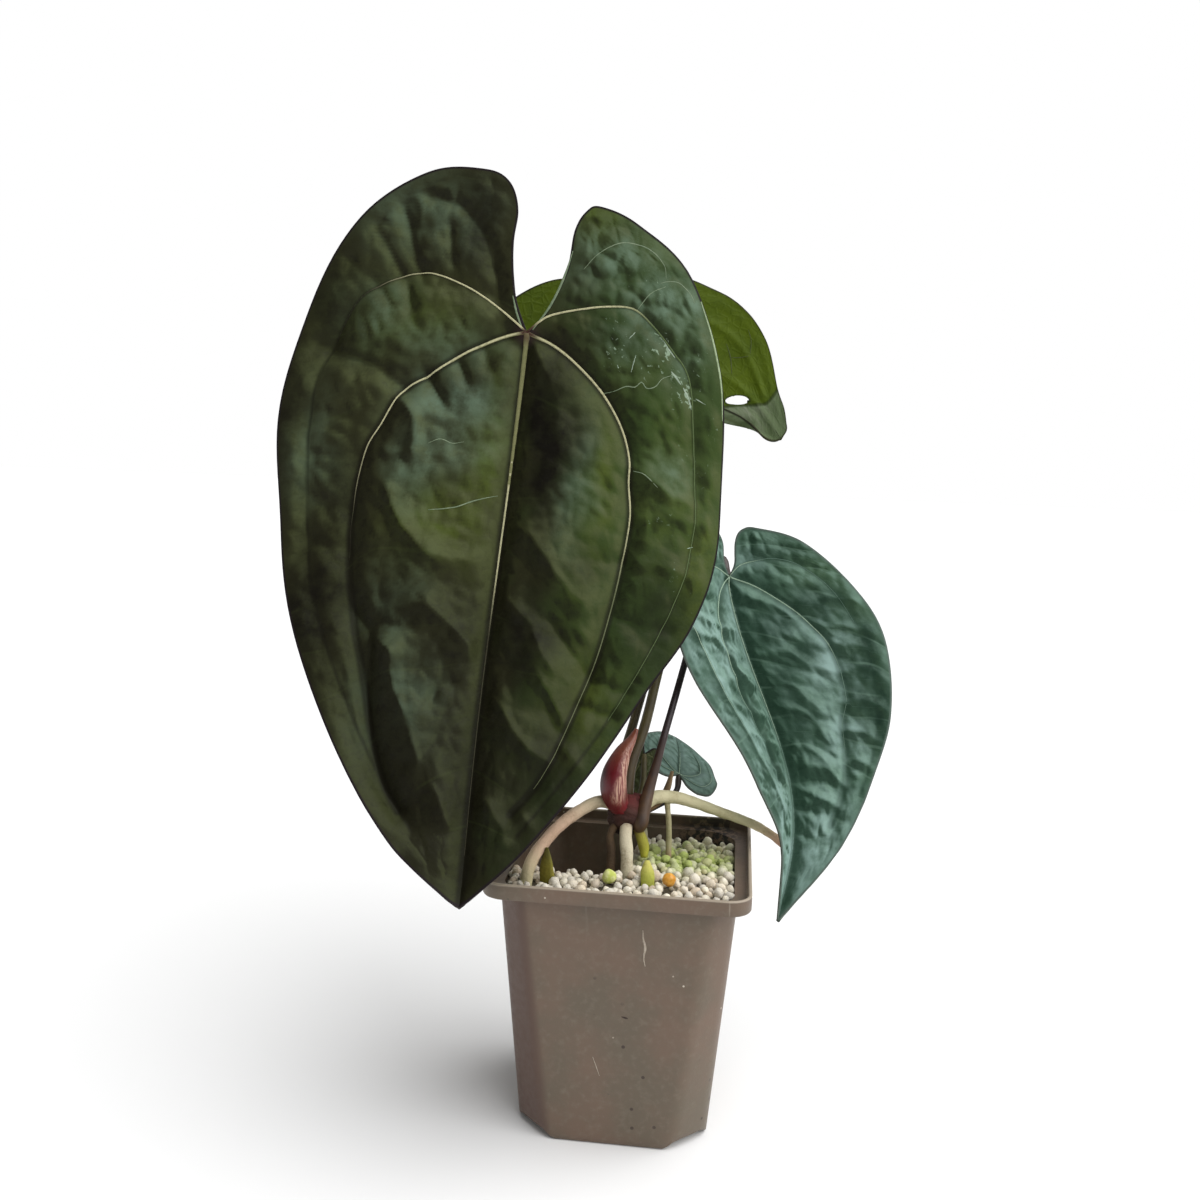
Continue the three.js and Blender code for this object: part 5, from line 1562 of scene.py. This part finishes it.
def perlite_finish():
    """Off-white and matt, yellowish or grey from crumb to crumb, and greened by algae round the middle."""
    work = Finish("perlite_white", Roughness=0.85, Specular_IOR_Level=0.25)
    work.shader.inputs["Subsurface Weight"].default_value = 0.15
    work.shader.inputs["Subsurface Radius"].default_value = (0.001, 0.001, 0.0008)
    place = work.place()
    first, second, third = work.split(work.stored("tint"))
    pores = work.noise(place, 1500, 4, 0.7)
    colour = work.mix(first, tone(236, 228, 208), tone(206, 200, 188))
    colour = work.mix(work.step(second, 0.6, 1, 0, 0.7), colour, tone(206, 186, 160))
    near_algae = work.step(work.far_from(place, ALGAE_AT), 0.031, 0.01)
    green = work.times(near_algae, work.step(third, 0.0, 0.7, 0.4, 1))
    colour = work.mix(green, colour, tone(178, 192, 112))
    colour = work.mix(work.step(pores, 0.52, 0.75, 0, 0.45), colour, tone(150, 138, 112))
    return work.finish(colour, None, work.bump(pores, 0.35))


bed = fill_body()
# The bed's dark tones are painted shade, as seen in the gaps between the crumbs.
bed.data.materials.append(plain("perlite_shade", tone(96, 88, 70), tone(62, 54, 42), 500, 0.95))
crumbs = grains()
crumbs.data.materials.append(perlite_finish())
hand_in(bed, "perlite", "perlite")
hand_in(crumbs, "perlite", "perlite")

# %% [markdown]
# ## Stem, stalks and roots
#
# Everything here is a tube on a path, with a radius at each point. What tells them apart is the way the
# tube's surface moves: a stalk is smooth with a faint groove, a root is dented and scaly, and the stem is
# ringed by the scars of old leaves. So each kind has its own small shape function. The path of a stalk is
# drawn on to the place under its blade where the veins meet, so that the two hold together.

# %% Paths of stalks and roots
# Places in millimetres, each with the radius there
PATHS = {
    "petiole_front": [(-1, 1, 113, 2.6), (0, 2, 125, 2.2), (4, 6, 138, 1.9), (7, 10, 153, 1.8),
                      (10, 15, 172, 1.8), (9, 19, 200, 1.8), (3, 21, 228, 1.8), (-9, 19, 252, 1.8),
                      (-24, 14.5, 268, 1.9), (-38, 9.6, 274.2, 2.1), (-42, 4, 275.2, 2.1)],
    "petiole_back": [(-3, 5, 113, 2.4), (-3, 8, 126, 2), (0, 12, 140, 1.7), (4, 17, 158, 1.6),
                     (6, 22, 185, 1.6), (2, 26, 215, 1.6), (-9, 28, 244, 1.7), (-24, 30, 266, 1.8),
                     (-33, 33.5, 271.5, 1.9), (-34.7, 36.4, 272.6, 1.9)],
    "petiole_right": [(4.4, -4.6, 102.6, 1.2), (4.9, -4.9, 105.5, 2.6), (5.8, -3, 111, 2.5),
                      (7.5, 0.2, 119, 2), (9.5, 2, 127, 1.6), (11.5, 4, 136, 1.4), (14.6, 11, 149, 1.3),
                      (17.6, 21.5, 162, 1.3), (20.6, 33, 176, 1.4), (23.4, 43, 189, 1.5),
                      (25.6, 48, 196.6, 1.6), (29, 45, 197.4, 1.8), (30.5, 39.5, 193.4, 1.9),
                      (31.1, 36, 192.1, 1.9)],
    "petiole_small": [(3, 4, 107, 1.8), (9, 11, 108, 1.3), (14, 17, 109.6, 1.1), (16.4, 21.8, 112, 1.1),
                      (16.6, 24.4, 114.8, 1.2)],
    "petiole_low": [(2, 4, 109, 1.7), (3.6, 9, 113, 1.2), (4.2, 10.6, 118, 1.1), (4.2, 11.4, 122.6, 1.1),
                    (4.1, 13.2, 125.2, 1.1)],
    "root_left": [(-3, 0, 109, 2.2), (-9, -2, 112.5, 2.2), (-17, -10, 110.5, 2.2), (-25, -21, 105, 2.1),
                  (-30.4, -31, 97, 2.1), (-31.4, -33, 84, 1.8)],
    "root_right": [(3, 2, 109, 2.4), (9, 5, 113, 2.5), (16, 9, 112.5, 2.3), (24, 13, 109.5, 2.1),
                   (31, 16, 106.5, 1.9), (40, 19.5, 102.8, 1.8), (48, 23, 98.8, 1.7), (56, 26, 93, 1.6),
                   (63, 28, 86, 1.3)],
    "root_branch": [(13.4, 8.6, 111.6, 1.1), (13.8, 9.8, 107, 1), (14.4, 11, 101, 1), (14.6, 12, 94, 1.1),
                    (14.6, 12.4, 84, 1)],
    "root_front": [(0, -3, 106, 2), (0, -8, 103, 2.2), (1, -12, 98, 2.2), (1.5, -15, 91, 2.1),
                   (1.5, -16, 82, 1.8)],
    "root_old": [(-3, -3, 106, 1.3), (-5.5, -7, 102, 1.4), (-4.5, -11.5, 97, 1.6), (-4.5, -14, 90, 1.7),
                 (-4.5, -14, 82, 1.5)],
    "root_rear": [(0, 5, 106, 1.6), (2, 12, 104, 1.6), (4, 17, 98, 1.6), (5, 19, 90, 1.6),
                  (5, 19.5, 80, 1.4)],
    "root_tip": [(3, -2.5, 105, 1.6), (5, -5, 102, 1.8), (6.6, -6.5, 98, 1.9), (6.9, -7, 94.5, 1.2)],
    "stem": [(-1.6, -0.8, 100.6, 3.4), (-1.2, -0.4, 103.4, 5.8), (-0.5, 0, 107, 7), (0.5, 0.8, 111, 6.8),
             (1, 1.4, 115, 4.4)],
    "sheath_red": [(-1.6, -3.2, 108.8, 3), (-4.8, -4.6, 116, 4.9), (-5.2, -4.6, 122.6, 4.8),
                   (-2.9, -2.2, 130, 3.4), (0.4, 0.6, 135.6, 1.7), (1.8, 1.8, 139, 0.7)],
    "sheath_old": [(5.5, 3.5, 108, 1.6), (11, 8.6, 110.8, 2), (13.2, 12, 115, 1.8), (14.6, 15, 120.5, 0.9)],
    "old_bract": [(-24, -27, 82, 2.2), (-24.5, -28, 90, 3.2), (-25, -28, 97, 2.6),
                  (-25.2, -27.4, 102.6, 0.6)],
    "pale_stub": [(9.6, -24, 84, 1.8), (9.6, -24, 91, 2.4), (9.2, -23.4, 95.6, 2.2), (9, -23, 99, 0.8)],
}


def grown(name, step, sides, flat, shape):
    """A tube along one of the paths, with rings at even steps."""
    fine = curve_through(PATHS[name], 12, even=False)
    rings = spread(fine, np.linspace(0, 1, max(8, int(lengths_along(fine)[-1] / step))))
    return tube(name + "_grown", rings[:, :3], rings[:, 3], sides, flat, shape)


# How far under the upper face a stalk ends, and how much of its radius it keeps there
STALK_SEAT = 1.0
STALK_TAPER = 0.7


def reach_blade(stalk, leaf):
    """Adds the place under the blade where its veins meet, so that the stalk ends in the blade."""
    hub = on_blade(leaf, 1, np.zeros((1, 2)), -STALK_SEAT)[0]
    PATHS[stalk].append((*hub, PATHS[stalk][-1][3] * STALK_TAPER))


for part in ("front", "back", "right", "small", "low"):
    reach_blade("petiole_" + part, "leaf_" + part)


def drifting(place, seed, size):
    """Slow noise in space, from about -1 to 1."""
    return np.array([noise.noise(Vector(p / size) + Vector((seed, 0, 0))) for p in place])


def stalk_shape(angle, share, place):
    """Nearly round, with one shallow groove and very slow swellings."""
    from_groove = np.mod(angle - 1.2, 2 * np.pi) - np.pi
    return 1 - 0.07 * np.exp(-((from_groove / 0.45) ** 2)) + 0.03 * drifting(place, 3, 14)


def root_shape(angle, share, place):
    """Dented and a little scaly, as a root is in dry air."""
    around = np.stack([np.cos(angle), np.sin(angle), share * 0], -1)
    coarse = drifting(place * 0.4 + around * 2.2, 11, 1.7)
    rings = drifting(place + around * 0.6, 23, 2.4)
    return 1 + 0.1 * coarse + 0.06 * rings


def stem_shape(angle, share, place):
    """Ringed by leaf scars, with lumps where roots set out."""
    around = np.stack([np.cos(angle), np.sin(angle), share * 2], -1)
    scars = np.abs(np.sin(share * 17 + 0.6 * np.sin(angle)))
    return 1 - 0.1 * (1 - scars) ** 3 + 0.16 * drifting(around, 5, 0.7)


def sheath_shape(angle, share, place):
    """A pointed sleeve: one edge laps over the other, and a keel runs up its back."""
    lap = 0.12 * soft_step(np.mod(angle, 2 * np.pi), 3.6, 3.9) * (1 - share)
    keel = 0.12 * np.exp(-((np.mod(angle, 2 * np.pi) - 1.1) / 0.25) ** 2)
    return 1 + lap + keel + 0.02 * np.sin(9 * angle)


# %% [markdown]
# ### Finishes of stalks and roots
#
# A stalk is olive with a wine-red cast and a satin skin. Roots are cream, pink where they are young and
# scurfy where they are old. The tones run along the tube, so they read the share along it that was stored
# on its points.

# %% Finishes of stalks and roots
def stalk_skin(name, start, middle, end, edge, rough=0.42):
    """A satin skin whose tone runs along the stalk, with fine lengthwise lines."""
    work = Finish(name, Specular_IOR_Level=0.5)
    along = work.stored("along", "Fac")
    place = work.place()
    slow = work.noise(place, 130, 3)
    lines = work.noise(work.stretch(place, (1400, 1400, 90)), 1.0, 3)
    colour = work.mix(work.step(along, 0.0, 0.35), start, middle)
    colour = work.mix(work.step(along, 0.6, 1.0), colour, end)
    colour = work.mix(work.step(slow, 0.4, 0.7, 0, 0.6), colour, edge)
    colour = work.mix(work.step(lines, 0.55, 0.75, 0, 0.35), colour, edge)
    return work.finish(colour, work.step(slow, 0.3, 0.7, rough - 0.06, rough + 0.1), work.bump(lines, 0.08))


def root_skin(name, start, middle, end, scurf, share=0.5):
    """A matt skin whose tone runs along the root, with scurf in patches."""
    work = Finish(name, Roughness=0.8, Specular_IOR_Level=0.3)
    along = work.stored("along", "Fac")
    place = work.place()
    slow = work.noise(place, 160, 4)
    fine = work.noise(place, 900, 5, 0.7)
    colour = work.mix(work.step(along, 0.1, 0.5), start, middle)
    colour = work.mix(work.step(along, 0.6, 0.95), colour, end)
    scurfy = work.times(work.step(slow, 0.42, 0.68), work.step(fine, 0.4, 0.7, 0.3, 1), share)
    colour = work.mix(scurfy, colour, scurf)
    return work.finish(colour, None, work.bump(fine, 0.4))


def red_sleeve():
    """Crimson, with painted shade nearly black on the left and a painted pale pink highlight on the right."""
    work = Finish("sheath_crimson", Specular_IOR_Level=0.5)
    place = work.place()
    x, z = work.split(place)[0], work.split(place)[2]
    lines = work.noise(work.stretch(place, (1500, 1500, 60)), 1.0, 3, 0.6, 0.5)
    slow = work.noise(place, 260, 3)
    across = work.math("ADD", work.math("MULTIPLY_ADD", z, -0.22, x), work.times(slow, 0.004))
    # Painted shade: nearly black on the left side, away from the light.
    colour = work.mix(work.step(across, -0.0356, -0.0316), tone(40, 12, 14), tone(104, 20, 30))
    colour = work.mix(work.step(z, 0.124, 0.135), colour, tone(128, 70, 52))
    # A painted pale pink highlight down the right side.
    painted_highlight_stripe = work.times(work.step(across, -0.0296, -0.0274), work.step(z, 0.138, 0.126))
    colour = work.mix(work.times(painted_highlight_stripe, work.step(lines, 0.42, 0.6, 0.12, 1)), colour, tone(214, 172, 150))
    colour = work.mix(work.step(across, -0.0256, -0.0242, 0, 0.8), colour, tone(86, 34, 30))
    colour = work.mix(work.step(z, 0.1165, 0.112), colour, tone(112, 26, 32))
    colour = work.mix(work.step(lines, 0.55, 0.7, 0, 0.5), colour, tone(70, 18, 22))
    return work.finish(colour, work.step(slow, 0.3, 0.7, 0.3, 0.45), work.bump(lines, 0.15))


olive = stalk_skin("stalk_olive", tone(70, 58, 36), tone(84, 80, 44), tone(92, 84, 50), tone(54, 44, 30))
wine = stalk_skin("stalk_wine", tone(84, 60, 36), tone(42, 30, 34), tone(60, 46, 40), tone(28, 20, 24))
# Tones at the start, the middle and the end of each root, then its scurf, and how thick that lies
root_pink = root_skin("root_pink", tone(200, 188, 158), tone(196, 166, 142), tone(190, 186, 146),
                      tone(150, 124, 100), 0.6)
root_yellow = root_skin("root_yellow", tone(208, 200, 164), tone(200, 194, 154), tone(180, 136, 116),
                        tone(150, 136, 94), 0.6)
root_pale = root_skin("root_pale", tone(196, 184, 158), tone(204, 196, 170), tone(160, 158, 116),
                      tone(124, 104, 78), 0.75)
root_brown = root_skin("root_brown", tone(84, 66, 46), tone(72, 56, 38), tone(96, 80, 48),
                       tone(48, 36, 24), 0.8)
bark = root_skin("stem_bark", tone(58, 40, 30), tone(72, 44, 38), tone(96, 40, 38), tone(32, 22, 16), 0.9)
dry = root_skin("sheath_dry", tone(110, 86, 58), tone(122, 100, 72), tone(140, 118, 88),
                tone(66, 48, 32), 0.8)
tip_green = root_skin("tip_green", tone(120, 96, 64), tone(150, 146, 56), tone(176, 176, 62),
                      tone(110, 100, 40))
stub_yellow = root_skin("stub_yellow", tone(150, 158, 60), tone(182, 188, 84), tone(196, 190, 100),
                        tone(140, 132, 60))
bract_olive = root_skin("bract_olive", tone(120, 110, 46), tone(142, 134, 52), tone(96, 92, 40),
                        tone(84, 76, 34))

# Finish, slot, sides, how flat the tube is, and its shape
GROWN = {
    "petiole_front": (olive, "petiole_olive", 16, 1.0, stalk_shape),
    "petiole_back": (olive, "petiole_olive", 16, 1.0, stalk_shape),
    "petiole_right": (wine, "petiole_dark", 16, 1.0, stalk_shape),
    "petiole_small": (wine, "petiole_dark", 12, 1.0, stalk_shape),
    "petiole_low": (olive, "petiole_olive", 12, 1.0, stalk_shape),
    "root_left": (root_pink, "root_cream", 20, 1.0, root_shape),
    "root_right": (root_yellow, "root_cream", 20, 1.0, root_shape),
    "root_front": (root_pale, "root_cream", 20, 1.0, root_shape),
    "root_old": (root_brown, "root_dark", 16, 1.0, root_shape),
    "root_rear": (root_pale, "root_cream", 16, 1.0, root_shape),
    "root_tip": (tip_green, "green_tip", 16, 1.0, root_shape),
    "stem": (bark, "stem_bark", 32, 1.0, stem_shape),
    "sheath_red": (red_sleeve(), "sheath_red", 28, 0.8, sheath_shape),
    "sheath_old": (dry, "sheath_dry", 16, 0.5, root_shape),
    "old_bract": (bract_olive, "green_tip", 18, 0.45, root_shape),
    "pale_stub": (stub_yellow, "green_tip", 16, 1.0, root_shape),
}
RING_STEP = 0.9
FINE_RING_STEP = 0.6
BRANCH_SIDES = 10

for name, (finish, slot, sides, flat, shape) in GROWN.items():
    step = FINE_RING_STEP if name in ("stem", "sheath_red") else RING_STEP
    piece = grown(name, step, sides, flat, shape)
    piece.data.materials.append(finish)
    if name == "root_right":
        branch = grown("root_branch", RING_STEP, BRANCH_SIDES, 1.0, root_shape)
        branch.data.materials.append(finish)
        piece = join([piece, branch], piece.name)
    hand_in(piece, slot, name)

# %% [markdown]
# ## Small things in the perlite
#
# One coated fertiliser granule and one green crumb of a root lie on top. Both are small balls that noise
# dents a little, and the granule keeps a faint gloss from its resin coat.

# %% Granule and green crumb
def pebble(name, at, radius, seed, finish, slot, node):
    """A small ball, dented by seeded noise."""
    bpy.ops.object.select_all(action="DESELECT")
    bpy.ops.mesh.primitive_ico_sphere_add(subdivisions=4, radius=1)
    piece = bpy.context.object
    piece.name = piece.data.name = name
    ball = np.array([v.co for v in piece.data.vertices])
    lumps = np.array([noise.noise(Vector(p) * 1.1 + Vector((seed, 0, 0))) for p in ball])
    small = np.array([noise.noise(Vector(p) * 4 + Vector((seed, 3, 0))) for p in ball])
    move_points(piece, ball * (0.95 + 0.12 * lumps + 0.03 * small)[:, None] * radius + at)
    piece.data.materials.append(finish)
    smooth_shade(piece)
    hand_in(piece, slot, node)


resin = plain("granule_resin", tone(200, 136, 36), tone(222, 166, 72), 500, 0.35, Specular_IOR_Level=0.5)
green_crumb = plain("green_crumb", tone(178, 188, 84), tone(206, 208, 140), 500, 0.7, 0.3)
pebble("granule_orange_ball", (17, -28, 94.6), 2.4, 4, resin, "granule_orange", "granule_orange")
pebble("granule_green_ball", (-3.4, -27.5, 94), 2.6, 9, green_crumb, "green_tip", "granule_green")
